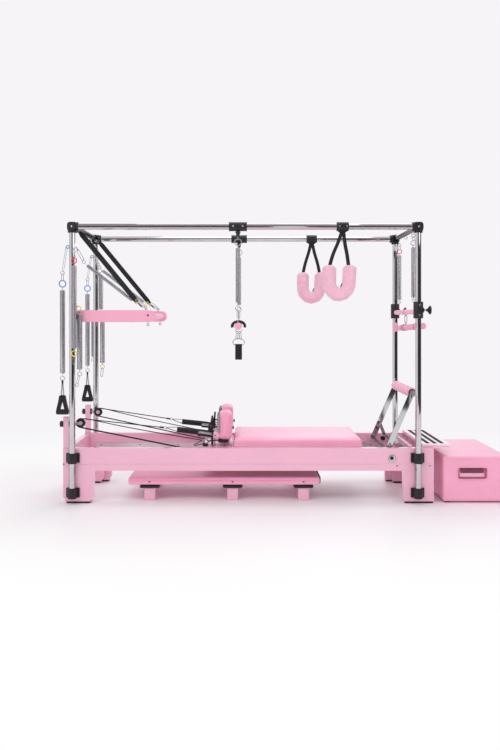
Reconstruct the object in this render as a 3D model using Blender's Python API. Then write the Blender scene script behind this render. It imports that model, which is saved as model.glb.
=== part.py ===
"""A combination Pilates reformer: a bed with a rolling carriage, under a tube canopy.

Metres, +Z up, +X towards the foot end. The floor is Z = 0. Everything is modelled about the middle of
the bed, and the last function moves it so that the middle of the whole object's box is the origin.
"""
import math

import bmesh
import bpy
from mathutils import Matrix, Vector

# Driving dimensions, in metres
BOX_MIDDLE_X = 0.2275     # middle of the whole object's box, from the middle of the bed
BED_LENGTH = 2.37
RAIL_OUT = 0.345          # outer face of a side rail, from the middle plane
RAIL_THICK = 0.05
RAIL_TOP = 0.351
RAIL_BOTTOM = 0.208
LEG_WIDTH = 0.194
LEG_WIDTH_INSIDE = 0.149  # of the deeper block behind the rail's plane
LEG_DEPTH = 0.10
FOOT_HEIGHT = 0.012
BOARD_THICK = 0.035
RAIL_GROOVE_Z = (0.2485, 0.2515)
UPRIGHT_X = 1.12          # head uprights at minus this
FOOT_UPRIGHT_X = 1.079
UPRIGHT_Y = 0.3725
UPRIGHT_RADIUS = 0.019
UPRIGHT_BOTTOM = 0.05
CANOPY_Z = 1.765          # middle of the top tubes
ELBOW = 0.033             # half the side of a corner elbow
ELBOW_BACK = 0.028        # from a corner's middle to the elbow's outer faces
CLAMPS_Z = (0.040, 0.262)
CLAMP_HEIGHT = 0.060
CLAMP_HALF = 0.042        # half the width of a clamp's flange
CLAMP_RADIUS = 0.027
TUBE_PLAY = 0.0008        # between a tube and what is around it
TRACK_X = (-1.10, 1.025)
TRACK_TOP = 0.222
TRACK_LEDGE = 0.042
TRACK_WALL_TOP = 0.285
PLATFORM_X = (1.12, 1.30)
PLATFORM_HALF = 0.32
PLATFORM_TOP = 0.374
GRIP_STRIPS_X = (1.162, 1.208, 1.254)
GRIP_STRIP_HALF = 0.0135
WHEEL_RADIUS = 0.020
WHEEL_INSET = 0.08        # of an axle from the end of the carriage
AXLE_RADIUS = 0.005
AXLE_PLAY = 0.0005
CARRIAGE_HEAD = -0.30
CARRIAGE_FOOT = 0.745
PAD_HEAD = -0.1065
BASE_BOTTOM = 0.27
BASE_TOP = 0.339
BASE_HALF = 0.262
PAD_TOP = 0.404
PAD_HALF = 0.285
REST_HEAD = -0.195
REST_BOTTOM = 0.388
REST_TOP = 0.573
REST_Y = (0.09, 0.25)
REST_PLATE_X = (-0.206, -0.185)
REST_PLATE_TOP = 0.555
SPRING_LUG_X = (0.37, 0.38)
SPRING_BAR_X = (1.032, 1.056)
SPRING_BAR_Z = (0.212, 0.362)
SPRINGS_Y = (-0.10, -0.05, 0.0, 0.05, 0.10)
SPRING_RADIUS = 0.0105
RISER_X = (-1.185, -1.149)
RISER_Y = 0.325
RISER_HALF = 0.016
RISER_TOP = 0.552
PULLEY_X = -1.085
PULLEY_Y = 0.285
PULLEY_Z = 0.505
PULLEY_RADIUS = 0.029
FOOTBAR_PIVOT = (0.90, 0.325)
FOOTBAR_TOP = (1.062, 0.700)
FOOTBAR_ARM_Y = (0.268, 0.276)
FOOTBAR_FOAM_HALF = 0.2675
FOOTBAR_FOAM_RADIUS = 0.032
STRUT_UPPER = (0.945, 0.429)
STRUT_LOWER = (0.975, 0.352)
STRUT_Y = 0.2435
ARM_PIVOT = (-1.075, 1.197)
ARM_TIP_X = -0.594
ARM_HEIGHT = 0.076
ARM_Y = 0.335
ARM_THICK = 0.018
STRAP_TOP = (-1.085, 1.738)
STRAP_FOOT = (-0.690, 1.2570)
STRAP_Y = 0.325
STRAP_HALF = 0.015        # half the width of the webbing
DIAGONAL_TOP = (-1.088, 1.640)
DIAGONAL_FOOT = (-0.735, 1.262)
DIAGONAL_Y = 0.262
HANDLE_X = -1.182
HANDLE_TOP = 1.48
HANDLE_COIL_FOOT = 0.80
HANDLE_STEM_FOOT = 0.680
HANDLE_GRIP_Z = 0.588
HANDLE_GRIP_HALF = 0.038
COLLAR_Z = 1.235
COLLAR_HALF = 0.053
COLLAR_RADIUS = 0.031
ROLL_DOWN_ENDS = ((0.0535, -0.300, 1.133), (-0.0206, 0.1157, 1.115))
ROLL_DOWN_RADIUS = 0.020
TRAPEZE_X = -0.067
TRAPEZE_BAR_Z = 1.135
TRAPEZE_BAR_RADIUS = 0.022
TRAPEZE_SPRING_DROP = 0.065
TRAPEZE_STRAP_Z = (0.905, 1.02)
SADDLE_HALF = 0.10
LOOP_HANGER_X = {"front": 0.598, "back": 0.465}
LOOP_X = {"front": 0.575, "back": 0.463}
LOOP_HALF = 0.062         # from the middle of a fleece loop to the middle of its leg
LOOP_RADIUS = 0.044
LOOP_TURN_Z = 1.410
LOOP_DROP = 0.075         # of the loop's middle line, below the start of its turn
LOOP_TOP = 1.522
FOOT_SPRING_X = {"front": 1.061, "back": 1.099}
FOOT_SPRING_Y = 0.31
FOOT_SPRING_FOOT = 1.29
ROPE_LOW = ((-0.304, 0.250, 0.314), (-0.50, 0.259, 0.354), (-0.78, 0.272, 0.412))
ROPE_HIGH = ((-0.80, 0.25, 0.496), (-0.58, 0.22, 0.468), (-0.31, 0.17, 0.440))
ROPE_REACH = 0.0300       # from the pulley's axis to the middle of the rope
BOX_LOW = (1.245, -0.34, 0.0)
BOX_HIGH = (1.675, 0.37, 0.300)
HAND_HOLD_X = (1.338, 1.532)
HAND_HOLD_Z = (0.149, 0.230)
HAND_HOLD_DEPTH = 0.045
MAT_HEAD = -0.783
MAT_FOOT = 0.467
MAT_HALF = 0.28
MAT_Z = (0.100, 0.156)
MAT_POSTS = (-0.642, -0.103, 0.358)
MAT_POST_HALF = (0.038, 0.03)
MAT_POST_Y = 0.235
GAP = 0.0003              # between neighbouring solids
SIDES = {"front": -1, "back": 1}
CURL_POINTS = 8

# Colours: linear red, green, blue, then roughness and metallic
FINISHES = {
    "pink_paint": ((0.85, 0.36, 0.50), 0.35, 0.0),
    "pink_vinyl": ((0.88, 0.33, 0.47), 0.50, 0.0),
    "pink_foam": ((0.90, 0.38, 0.50), 0.90, 0.0),
    "fleece": ((0.93, 0.45, 0.58), 1.00, 0.0),
    "chrome": ((0.80, 0.80, 0.82), 0.12, 1.0),
    "aluminium": ((0.75, 0.76, 0.78), 0.35, 1.0),
    "steel": ((0.55, 0.56, 0.58), 0.30, 1.0),
    "black_plastic": ((0.02, 0.02, 0.022), 0.45, 0.0),
    "webbing": ((0.03, 0.03, 0.03), 0.90, 0.0),
    "grip_top": ((0.88, 0.80, 0.82), 0.55, 0.0),
}


def clear_scene():
    for old in list(bpy.data.objects):
        bpy.data.objects.remove(old, do_unlink=True)


def finish(name):
    """A material of its own for each object, with the named finish."""
    colour, roughness, metallic = FINISHES[name]
    material = bpy.data.materials.new(name)
    material.use_nodes = True
    shader = material.node_tree.nodes["Principled BSDF"]
    shader.inputs["Base Color"].default_value = (*colour, 1.0)
    shader.inputs["Roughness"].default_value = roughness
    shader.inputs["Metallic"].default_value = metallic
    return material


def box(low, high):
    """A closed box between two corners."""
    shape = bmesh.new()
    bmesh.ops.create_cube(shape, size=1.0)
    size = Vector(high) - Vector(low)
    middle = (Vector(high) + Vector(low)) / 2
    bmesh.ops.scale(shape, vec=size, verts=shape.verts)
    bmesh.ops.translate(shape, vec=middle, verts=shape.verts)
    return shape


def rod(start, end, radius, sides=16, end_radius=None):
    """A closed round bar, or a cone, from one point to another."""
    start = Vector(start)
    along = Vector(end) - start
    shape = bmesh.new()
    bmesh.ops.create_cone(
        shape, cap_ends=True, segments=sides, radius1=radius,
        radius2=radius if end_radius is None else end_radius, depth=along.length)
    turn = along.to_track_quat("Z", "Y").to_matrix().to_4x4()
    bmesh.ops.transform(shape, matrix=Matrix.Translation(start + along / 2) @ turn, verts=shape.verts)
    return shape


def slab(outline, low_y, high_y):
    """A flat plate: an outline in X and Z, extruded along Y."""
    shape = bmesh.new()
    corners = [shape.verts.new((x, low_y, z)) for x, z in outline]
    face = shape.faces.new(corners)
    grown = bmesh.ops.extrude_face_region(shape, geom=[face])
    moved = [item for item in grown["geom"] if isinstance(item, bmesh.types.BMVert)]
    bmesh.ops.translate(shape, vec=(0, high_y - low_y, 0), verts=moved)
    bmesh.ops.recalc_face_normals(shape, faces=shape.faces)
    return shape


def bar(start, end, width, low_y, high_y):
    """A flat arm between two points in X and Z, with half-round ends."""
    start = Vector((start[0], start[1]))
    end = Vector((end[0], end[1]))
    along = (end - start).normalized()
    angle = math.atan2(along.y, along.x)
    outline = []
    for centre, first in ((end, angle - math.pi / 2), (start, angle + math.pi / 2)):
        for step in range(7):
            turn = first + math.pi * step / 6
            outline.append((centre.x + width / 2 * math.cos(turn), centre.y + width / 2 * math.sin(turn)))
    return slab(outline, low_y, high_y)


def ring(centre, around, big, small, steps=16, sides=6):
    """A round ring whose hole points along the given direction."""
    shape = bmesh.new()
    profile = [shape.verts.new((big + small * math.cos(a), 0, small * math.sin(a)))
               for a in (2 * math.pi * i / sides for i in range(sides))]
    edges = [shape.edges.new((profile[i], profile[(i + 1) % sides])) for i in range(sides)]
    bmesh.ops.spin(shape, geom=profile + edges, axis=(0, 0, 1), cent=(0, 0, 0),
                   angle=2 * math.pi, steps=steps, use_merge=True)
    bmesh.ops.remove_doubles(shape, verts=shape.verts, dist=0.00001)
    bmesh.ops.recalc_face_normals(shape, faces=shape.faces)
    turn = Vector(around).to_track_quat("Z", "Y").to_matrix().to_4x4()
    bmesh.ops.transform(shape, matrix=Matrix.Translation(centre) @ turn, verts=shape.verts)
    return shape


def place(name, shape, look, origin):
    """An object whose mesh is the shape and whose origin is the given point."""
    mesh = bpy.data.meshes.new(name)
    bmesh.ops.translate(shape, vec=-Vector(origin), verts=shape.verts)
    shape.to_mesh(mesh)
    shape.free()
    thing = bpy.data.objects.new(name, mesh)
    bpy.context.collection.objects.link(thing)
    thing.location = origin
    mesh.materials.append(finish(look))
    mesh.shade_smooth()
    mesh.set_sharp_from_angle(angle=math.radians(35))
    return thing


def solid(name, shapes, look, origin=(0, 0, 0), cuts=()):
    """One closed body: the first shape, joined with the rest and cut by the cuts."""
    body = place(name, shapes[0], look, origin)
    for operation, extras in (("UNION", shapes[1:]), ("DIFFERENCE", cuts)):
        for shape in extras:
            helper = place(name + "_helper", shape, look, origin)
            helper.hide_render = True
            helper.display_type = "WIRE"
            step = body.modifiers.new(operation.lower(), "BOOLEAN")
            step.operation = operation
            step.object = helper
    return body


def tube(name, points, radius, look, origin=(0, 0, 0), resolution=1):
    """A filled tube along a list of points."""
    curve = bpy.data.curves.new(name, "CURVE")
    curve.dimensions = "3D"
    curve.bevel_depth = radius
    curve.bevel_resolution = resolution
    curve.use_fill_caps = True
    spline = curve.splines.new("POLY")
    spline.points.add(len(points) - 1)
    for knot, point in zip(spline.points, points):
        knot.co = (*(Vector(point) - Vector(origin)), 1.0)
    curve.materials.append(finish(look))
    thing = bpy.data.objects.new(name, curve)
    bpy.context.collection.objects.link(thing)
    thing.location = origin
    return thing


def coil_points(top, bottom, radius, curls, tail):
    """Points of an extension spring: a straight end, the curls, and a straight end."""
    top = Vector(top)
    along = Vector(bottom) - top
    across = Vector((0, 1, 0)).cross(along).normalized()
    other = along.cross(across).normalized()
    way = along.normalized()
    points = [top, top + way * tail * 0.7]
    wound = along.length - 2 * tail
    steps = curls * CURL_POINTS
    for step in range(steps + 1):
        part = step / steps
        angle = 2 * math.pi * curls * part
        grow = min(1.0, step / (CURL_POINTS / 2), (steps - step) / (CURL_POINTS / 2))
        reach = radius * grow
        points.append(top + way * (tail + wound * part)
                      + across * reach * math.cos(angle) + other * reach * math.sin(angle))
    points += [top + along - way * tail * 0.7, top + along]
    return points


def least_gap(points, wire):
    """The smallest clear space between parts of a coil that aren't next to each other."""
    apart = CURL_POINTS * 3 // 4
    best = min((points[i] - points[j]).length
               for i in range(2, len(points) - 2) for j in range(i + apart, len(points) - 2))
    return best - 2 * wire


def spring(name, top, bottom, radius, wire, curls, tail, look="steel", origin=None):
    points = coil_points(top, bottom, radius, curls, tail)
    print(name, "least gap to itself, mm:", round(least_gap(points, wire) * 1000, 2))
    return tube(name, points, wire, look, top if origin is None else origin)


def side_frames():
    """Each side: a rail with two legs and their foot pads."""
    half = BED_LENGTH / 2
    inner = half - LEG_WIDTH
    head_chamfer = 0.028
    foot_chamfer = 0.006
    fillet = 0.012
    for side, s in SIDES.items():
        outline = [
            (-half, FOOT_HEIGHT + head_chamfer), (-half + head_chamfer, 0.0),
            (-inner - head_chamfer, 0.0), (-inner, FOOT_HEIGHT + head_chamfer),
            (-inner, RAIL_BOTTOM - fillet), (-inner + fillet, RAIL_BOTTOM),
            (inner - fillet, RAIL_BOTTOM), (inner, RAIL_BOTTOM - fillet), (inner, foot_chamfer),
            (inner + foot_chamfer, 0.0), (half - foot_chamfer, 0.0), (half, foot_chamfer),
            (half, RAIL_TOP), (-half, RAIL_TOP)]
        leg_in = s * (RAIL_OUT - LEG_DEPTH)
        face_in = s * (RAIL_OUT - RAIL_THICK)
        face_out = s * RAIL_OUT
        shapes = [slab(outline, min(face_in, face_out), max(face_in, face_out))]
        for end, chamfer in ((-1, head_chamfer), (1, foot_chamfer)):
            near = half - LEG_WIDTH_INSIDE
            legs = [(end * x, z) for x, z in (
                (half - chamfer, 0.0), (half, FOOT_HEIGHT + chamfer), (half, RAIL_BOTTOM - 0.004),
                (near, RAIL_BOTTOM - 0.004), (near, FOOT_HEIGHT + chamfer), (near + chamfer, 0.0))]
            deep = [leg_in, s * (RAIL_OUT - RAIL_THICK / 2)]
            shapes.append(slab(legs, min(deep), max(deep)))
        groove = sorted((s * (RAIL_OUT - 0.003), s * (RAIL_OUT + 0.01)))
        groove = box((-half - 0.01, groove[0], RAIL_GROOVE_Z[0]), (half + 0.01, groove[1], RAIL_GROOVE_Z[1]))
        solid("side_frame_" + side, shapes, "pink_paint", cuts=[groove])


def end_boards():
    reach = RAIL_OUT - RAIL_THICK - GAP
    half = BED_LENGTH / 2
    for name, low, high in (("head_board", -half, -half + BOARD_THICK),
                            ("foot_board", half - BOARD_THICK, half)):
        solid(name, [box((low, -reach, RAIL_BOTTOM), (high, reach, RAIL_TOP - 0.004))], "pink_paint")


def tracks():
    """Aluminium angles on the inner faces of the rails, which the carriage's wheels roll on."""
    for side, s in SIDES.items():
        wall = RAIL_OUT - RAIL_THICK - GAP
        web = sorted((s * wall, s * (wall - 0.006)))
        ledge = sorted((s * (wall - 0.003), s * (wall - TRACK_LEDGE)))
        head, foot = TRACK_X
        bottom = TRACK_TOP - 0.007
        solid("track_" + side, [
            box((head, web[0], bottom), (foot, web[1], TRACK_WALL_TOP)),
            box((head, ledge[0], bottom), (foot, ledge[1], TRACK_TOP))], "aluminium")


def platform():
    """The standing platform on the foot end, with three grip strips let into its top."""
    head, foot = PLATFORM_X
    plate = box((head, -PLATFORM_HALF, RAIL_TOP + GAP), (foot, PLATFORM_HALF, PLATFORM_TOP))
    reach = PLATFORM_HALF - 0.03
    low = PLATFORM_TOP - 0.0025
    high = PLATFORM_TOP + 0.006
    grooves = [box((x - GRIP_STRIP_HALF, -reach, low), (x + GRIP_STRIP_HALF, reach, high))
               for x in GRIP_STRIPS_X]
    solid("standing_platform", [plate], "grip_top", cuts=grooves)


def canopy():
    """Four uprights, two top rails, two cross tubes and the four corner elbows."""
    ends = {"head": -UPRIGHT_X, "foot": FOOT_UPRIGHT_X}
    stop = ELBOW + GAP
    for end, x in ends.items():
        for side, s in SIDES.items():
            y = s * UPRIGHT_Y
            solid(f"upright_{end}_{side}",
                  [rod((x, y, UPRIGHT_BOTTOM), (x, y, CANOPY_Z - stop), UPRIGHT_RADIUS)], "chrome")
            inward = 1 if end == "head" else -1
            hub = rod((x, y, CANOPY_Z - ELBOW), (x, y, CANOPY_Z + ELBOW_BACK), 0.0265)
            along = rod((x - inward * ELBOW_BACK, y, CANOPY_Z), (x + inward * ELBOW, y, CANOPY_Z), 0.0262)
            across = rod((x, y + s * ELBOW_BACK, CANOPY_Z), (x, y - s * ELBOW, CANOPY_Z), 0.0259)
            solid(f"elbow_{end}_{side}", [hub, along, across], "black_plastic")
        solid("cross_tube_" + end,
              [rod((x, -UPRIGHT_Y + stop, CANOPY_Z), (x, UPRIGHT_Y - stop, CANOPY_Z), UPRIGHT_RADIUS)],
              "chrome")
    for side, s in SIDES.items():
        solid("top_rail_" + side,
              [rod((-UPRIGHT_X + stop, s * UPRIGHT_Y, CANOPY_Z),
                   (FOOT_UPRIGHT_X - stop, s * UPRIGHT_Y, CANOPY_Z), UPRIGHT_RADIUS)], "chrome")


def brackets():
    """Bed brackets: an upper and a lower saddle clamp on one backing strip, around each upright."""
    for end, x in (("head", -UPRIGHT_X), ("foot", FOOT_UPRIGHT_X)):
        for side, s in SIDES.items():
            y = s * UPRIGHT_Y
            back = s * (RAIL_OUT + GAP)
            shapes = []
            strip = sorted((back, back + s * 0.004))
            shapes.append(box((x - 0.012, strip[0], 0.06), (x + 0.012, strip[1], 0.31)))
            for low in CLAMPS_Z:
                high = low + CLAMP_HEIGHT
                flange = sorted((back + s * 0.0005, back + s * 0.014))
                shapes.append(box((x - CLAMP_HALF, flange[0], low), (x + CLAMP_HALF, flange[1], high)))
                shapes.append(rod((x, y, low - 0.002), (x, y, high + 0.002), CLAMP_RADIUS))
            hole = rod((x, y, UPRIGHT_BOTTOM - GAP), (x, y, 0.4), UPRIGHT_RADIUS + 0.0006)
            solid(f"bracket_{end}_{side}", shapes, "black_plastic", cuts=[hole])


def pulleys():
    """Risers at the head end, each with a shaft along Y that carries a rope pulley."""
    for side, s in SIDES.items():
        y = s * RISER_Y
        head, foot = RISER_X
        post = box((head, y - RISER_HALF, RAIL_TOP + GAP), (foot, y + RISER_HALF, RISER_TOP))
        shaft = rod(((head + foot) / 2, y - s * 0.010, PULLEY_Z),
                    (PULLEY_X + 0.007, y - s * 0.010, PULLEY_Z), 0.007)
        stub = rod((PULLEY_X, y - s * 0.004, PULLEY_Z), (PULLEY_X, y - s * 0.058, PULLEY_Z), 0.005)
        knob = rod((head + 0.001, y, PULLEY_Z), (head - 0.023, y, PULLEY_Z), 0.019)
        solid("riser_" + side, [post, shaft, stub, knob], "pink_paint")
        hub = (PULLEY_X, s * PULLEY_Y, PULLEY_Z)
        ends = [(hub[0], hub[1] - 0.011, hub[2]), (hub[0], hub[1] + 0.011, hub[2])]
        wheel = rod(ends[0], ends[1], PULLEY_RADIUS, 20)
        groove = ring(hub, (0, 1, 0), PULLEY_RADIUS + 0.002, 0.0065, 20)
        bore = rod((hub[0], hub[1] - 0.02, hub[2]), (hub[0], hub[1] + 0.02, hub[2]), 0.0054)
        solid("pulley_" + side, [wheel], "black_plastic", origin=hub, cuts=[groove, bore])


def carriage():
    """The rolling bed: a base with wheel lugs, a padded top and two shoulder rests."""
    base = box((CARRIAGE_HEAD, -BASE_HALF, BASE_BOTTOM), (CARRIAGE_FOOT, BASE_HALF, BASE_TOP))
    shapes = [base]
    bores = []
    wheels = {"head": CARRIAGE_HEAD + WHEEL_INSET, "foot": CARRIAGE_FOOT - WHEEL_INSET}
    axle_z = TRACK_TOP + GAP + WHEEL_RADIUS
    for end, x in wheels.items():
        for s in (-1, 1):
            lug = sorted((s * 0.222, s * 0.234))
            shapes.append(box((x - 0.016, lug[0], axle_z - 0.014), (x + 0.016, lug[1], BASE_BOTTOM + 0.01)))
        bores.append(rod((x, -0.25, axle_z), (x, 0.25, axle_z), AXLE_RADIUS + AXLE_PLAY))
        axle = rod((x, -0.272, axle_z), (x, 0.272, axle_z), AXLE_RADIUS)
        rollers = [rod((x, s * 0.257, axle_z), (x, s * 0.275, axle_z), WHEEL_RADIUS) for s in (-1, 1)]
        solid(f"wheel_set_{end}", [axle] + rollers, "black_plastic", origin=(x, 0, axle_z))
    shapes.append(box((SPRING_LUG_X[0], -0.13, 0.206), (SPRING_LUG_X[1], 0.13, BASE_BOTTOM + 0.01)))
    solid("carriage_base", shapes, "pink_paint", cuts=bores)
    pad = cushion((PAD_HEAD, -PAD_HALF, BASE_TOP + GAP), (CARRIAGE_FOOT + 0.005, PAD_HALF, PAD_TOP),
                  crown=0.012, draw=0.010)
    place("carriage_pad", pad, "pink_vinyl", (0, 0, 0))
    for side, s in SIDES.items():
        low, high = sorted((s * REST_Y[0], s * REST_Y[1]))
        rest = cushion((REST_HEAD, low, REST_BOTTOM), (PAD_HEAD - 0.0025, high, REST_TOP),
                       crown=0.006, draw=0.008)
        low += 0.02
        high -= 0.02
        head, foot = REST_PLATE_X
        base = box((head, low, BASE_TOP + GAP), (foot + 0.050, high, REST_BOTTOM + 0.008))
        plate = box((head, low, BASE_TOP + 0.020), (foot, high, REST_PLATE_TOP))
        solid("shoulder_rest_" + side, [rest, base, plate], "pink_vinyl")


def cushion(low, high, crown, draw, across=12, up=4):
    """A padded block: rounded corners, a crowned top and sides that pull in at their middle."""
    low = Vector(low)
    high = Vector(high)
    size = high - low
    shape = bmesh.new()
    bmesh.ops.create_cube(shape, size=2.0)
    for axis, parts in enumerate((across, 8, up)):
        long_edges = [e for e in shape.edges if abs(e.verts[0].co[axis] - e.verts[1].co[axis]) > 1]
        bmesh.ops.subdivide_edges(shape, edges=long_edges, cuts=parts - 1, use_grid_fill=True)
    for vert in shape.verts:
        x, y, z = vert.co
        top = max(0.0, z)
        swell = (1 - x ** 4) * (1 - y ** 4)
        pull = draw * (1 - z * z) * 0.5
        edge = draw * max(0.0, abs(z) * 1.2 - 0.2)
        vert.co.x = low.x + size.x * (x + 1) / 2 - math.copysign(pull + edge, x) * abs(x) ** 8
        vert.co.y = low.y + size.y * (y + 1) / 2 - math.copysign(pull + edge, y) * abs(y) ** 8
        vert.co.z = low.z + (size.z - crown) * (z + 1) / 2 + crown * top * swell
    return shape


def carriage_springs():
    """The spring bar by the foot end, and the resistance springs' outer form under the carriage."""
    reach = RAIL_OUT - RAIL_THICK - 0.0005
    low, high = SPRING_BAR_Z
    head, foot = SPRING_BAR_X
    window = box((head - 0.03, -0.2, low + 0.028), (foot + 0.04, 0.2, high - 0.042))
    solid("spring_bar", [box((head, -reach, low), (foot, reach, high))], "pink_paint", cuts=[window])
    left = SPRING_LUG_X[1] + GAP
    right = head - GAP
    shapes = [box((right - 0.006, -0.12, 0.2145), (right, 0.12, 0.2295))]
    for y in SPRINGS_Y:
        shapes.append(rod((left, y, TRACK_TOP), (right - 0.003, y, TRACK_TOP), SPRING_RADIUS, 12))
    solid("carriage_springs", shapes, "steel")


def footbar():
    """Two flat arms with a round core between them, a foam roller, and a support strut."""
    pivot = (FOOTBAR_PIVOT[0], 0.0, FOOTBAR_PIVOT[1])
    top = FOOTBAR_TOP
    shapes = []
    for s in (-1, 1):
        flat = sorted(s * y for y in FOOTBAR_ARM_Y)
        shapes.append(bar(FOOTBAR_PIVOT, top, 0.034, flat[0], flat[1]))
        shapes.append(rod((pivot[0], s * 0.270, pivot[2]),
                          (pivot[0], s * (RAIL_OUT - RAIL_THICK - GAP), pivot[2]), 0.010))
    middle = sum(FOOTBAR_ARM_Y) / 2
    shapes.append(rod((top[0], -middle, top[1]), (top[0], middle, top[1]), 0.011))
    shapes.append(rod((pivot[0], -middle, pivot[2]), (pivot[0], middle, pivot[2]), 0.0075))
    solid("footbar", shapes, "chrome", origin=pivot)
    foam = rod((top[0], -FOOTBAR_FOAM_HALF, top[1]), (top[0], FOOTBAR_FOAM_HALF, top[1]),
               FOOTBAR_FOAM_RADIUS, 20)
    bore = rod((top[0], -0.3, top[1]), (top[0], 0.3, top[1]), 0.0115)
    solid("footbar_foam", [foam], "pink_foam", origin=pivot, cuts=[bore])
    upper = STRUT_UPPER
    lower = STRUT_LOWER
    strut = [bar(upper, lower, 0.022, s * STRUT_Y - 0.0035, s * STRUT_Y + 0.0035) for s in (-1, 1)]
    strut.append(rod((lower[0], -STRUT_Y, lower[1]), (lower[0], STRUT_Y, lower[1]), 0.008))
    for s in (-1, 1):
        strut.append(rod((upper[0], s * STRUT_Y, upper[1]),
                         (upper[0], s * (FOOTBAR_ARM_Y[0] - GAP), upper[1]), 0.007))
    solid("footbar_strut", strut, "steel", origin=(upper[0], 0.0, upper[1]))


def push_bar():
    """The push-through bar: two flat arms pivoted at the head uprights, and a cross bar."""
    pivot = (ARM_PIVOT[0], 0.0, ARM_PIVOT[1])
    tip = (ARM_TIP_X - ARM_HEIGHT / 2, ARM_PIVOT[1])
    shapes = []
    for s in (-1, 1):
        flat = sorted((s * (ARM_Y - ARM_THICK / 2), s * (ARM_Y + ARM_THICK / 2)))
        shapes.append(bar(ARM_PIVOT, tip, ARM_HEIGHT, flat[0], flat[1]))
    shapes.append(rod((tip[0], -ARM_Y, tip[1]), (tip[0], ARM_Y, tip[1]), 0.019))
    solid("push_bar", shapes, "pink_paint", origin=pivot)


def push_bar_hangers():
    """Two webbing safety straps and two diagonal springs, from the head cross tube to the arms."""
    for side, s in SIDES.items():
        high = Vector(STRAP_TOP)
        low = Vector(STRAP_FOOT)
        way = (low - high).normalized()
        side_way = Vector((-way.y, way.x)) * STRAP_HALF
        outline = [high + side_way, low + side_way, low - side_way, high - side_way]
        webbing = slab([(p.x, p.y) for p in outline], s * STRAP_Y - 0.0016, s * STRAP_Y + 0.0016)
        solid("strap_" + side, [webbing], "webbing")
        top = Vector((DIAGONAL_TOP[0], s * DIAGONAL_Y, DIAGONAL_TOP[1]))
        bottom = Vector((DIAGONAL_FOOT[0], s * DIAGONAL_Y, DIAGONAL_FOOT[1]))
        spring("diagonal_spring_" + side, top, bottom, 0.0085, 0.0018, 8, 0.045)


def handle_springs():
    """At each head upright, a spring with a strap and a hand loop on its lower end."""
    for side, s in SIDES.items():
        x = HANDLE_X
        y = s * UPRIGHT_Y
        top = Vector((x, y, HANDLE_TOP))
        grip = HANDLE_GRIP_Z
        points = coil_points(top, (x, y, HANDLE_COIL_FOOT), 0.0155, 10, 0.11)
        print("handle_spring_" + side, "least gap to itself, mm:", round(least_gap(points, 0.0022) * 1000, 2))
        wire = tube("coil_guide", points, 0.0022, "steel")
        mesh = bpy.data.meshes.new_from_object(wire.evaluated_get(bpy.context.evaluated_depsgraph_get()))
        shape = bmesh.new()
        shape.from_mesh(mesh)
        bpy.data.objects.remove(wire, do_unlink=True)
        fork = (x, HANDLE_STEM_FOOT)
        stem = bar((x, HANDLE_COIL_FOOT), fork, 0.010, y - 0.008, y + 0.008)
        straps = [bar(fork, (x + 0.029 * way, grip), 0.018, y - 0.011, y + 0.011) for way in (-1, 1)]
        handle = rod((x - HANDLE_GRIP_HALF, y, grip), (x + HANDLE_GRIP_HALF, y, grip), 0.016)
        solid("handle_spring_" + side, [shape, stem] + straps + [handle], "steel", origin=top)


def collars():
    """Height collars on the foot uprights with a foam cross bar, and the roll-down bar on its chain."""
    x = FOOT_UPRIGHT_X
    shapes = []
    holes = []
    for s in (-1, 1):
        y = s * UPRIGHT_Y
        shapes.append(rod((x, y, COLLAR_Z - COLLAR_HALF), (x, y, COLLAR_Z + COLLAR_HALF), COLLAR_RADIUS))
        shapes.append(rod((x + 0.025, y, COLLAR_Z), (x + 0.078, y, COLLAR_Z), 0.013))
        holes.append(rod((x, y, COLLAR_Z - 0.1), (x, y, COLLAR_Z + 0.1), UPRIGHT_RADIUS + TUBE_PLAY))
    reach = UPRIGHT_Y - 0.026
    shapes.append(rod((x, -reach, COLLAR_Z - 0.01), (x, reach, COLLAR_Z - 0.01), 0.016))
    solid("collar_bar", shapes, "black_plastic", origin=(x, 0, COLLAR_Z), cuts=holes)
    hang = COLLAR_Z - 0.030
    chain = rod((x, 0, hang), (x, 0, 1.120), 0.0025, 8)
    near, far = [(x + along, y, z) for along, y, z in ROLL_DOWN_ENDS]
    roller = rod(near, far, ROLL_DOWN_RADIUS)
    solid("roll_down_bar", [roller, chain], "pink_foam", origin=(x, 0, COLLAR_Z))
    for side, s in SIDES.items():
        x = FOOT_SPRING_X[side]
        y = s * FOOT_SPRING_Y
        spring("foot_spring_" + side, (x, y, CANOPY_Z - UPRIGHT_RADIUS - 0.02), (x, y, FOOT_SPRING_FOOT),
               0.0115, 0.002, 9, 0.035, origin=(x, y, CANOPY_Z))


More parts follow.
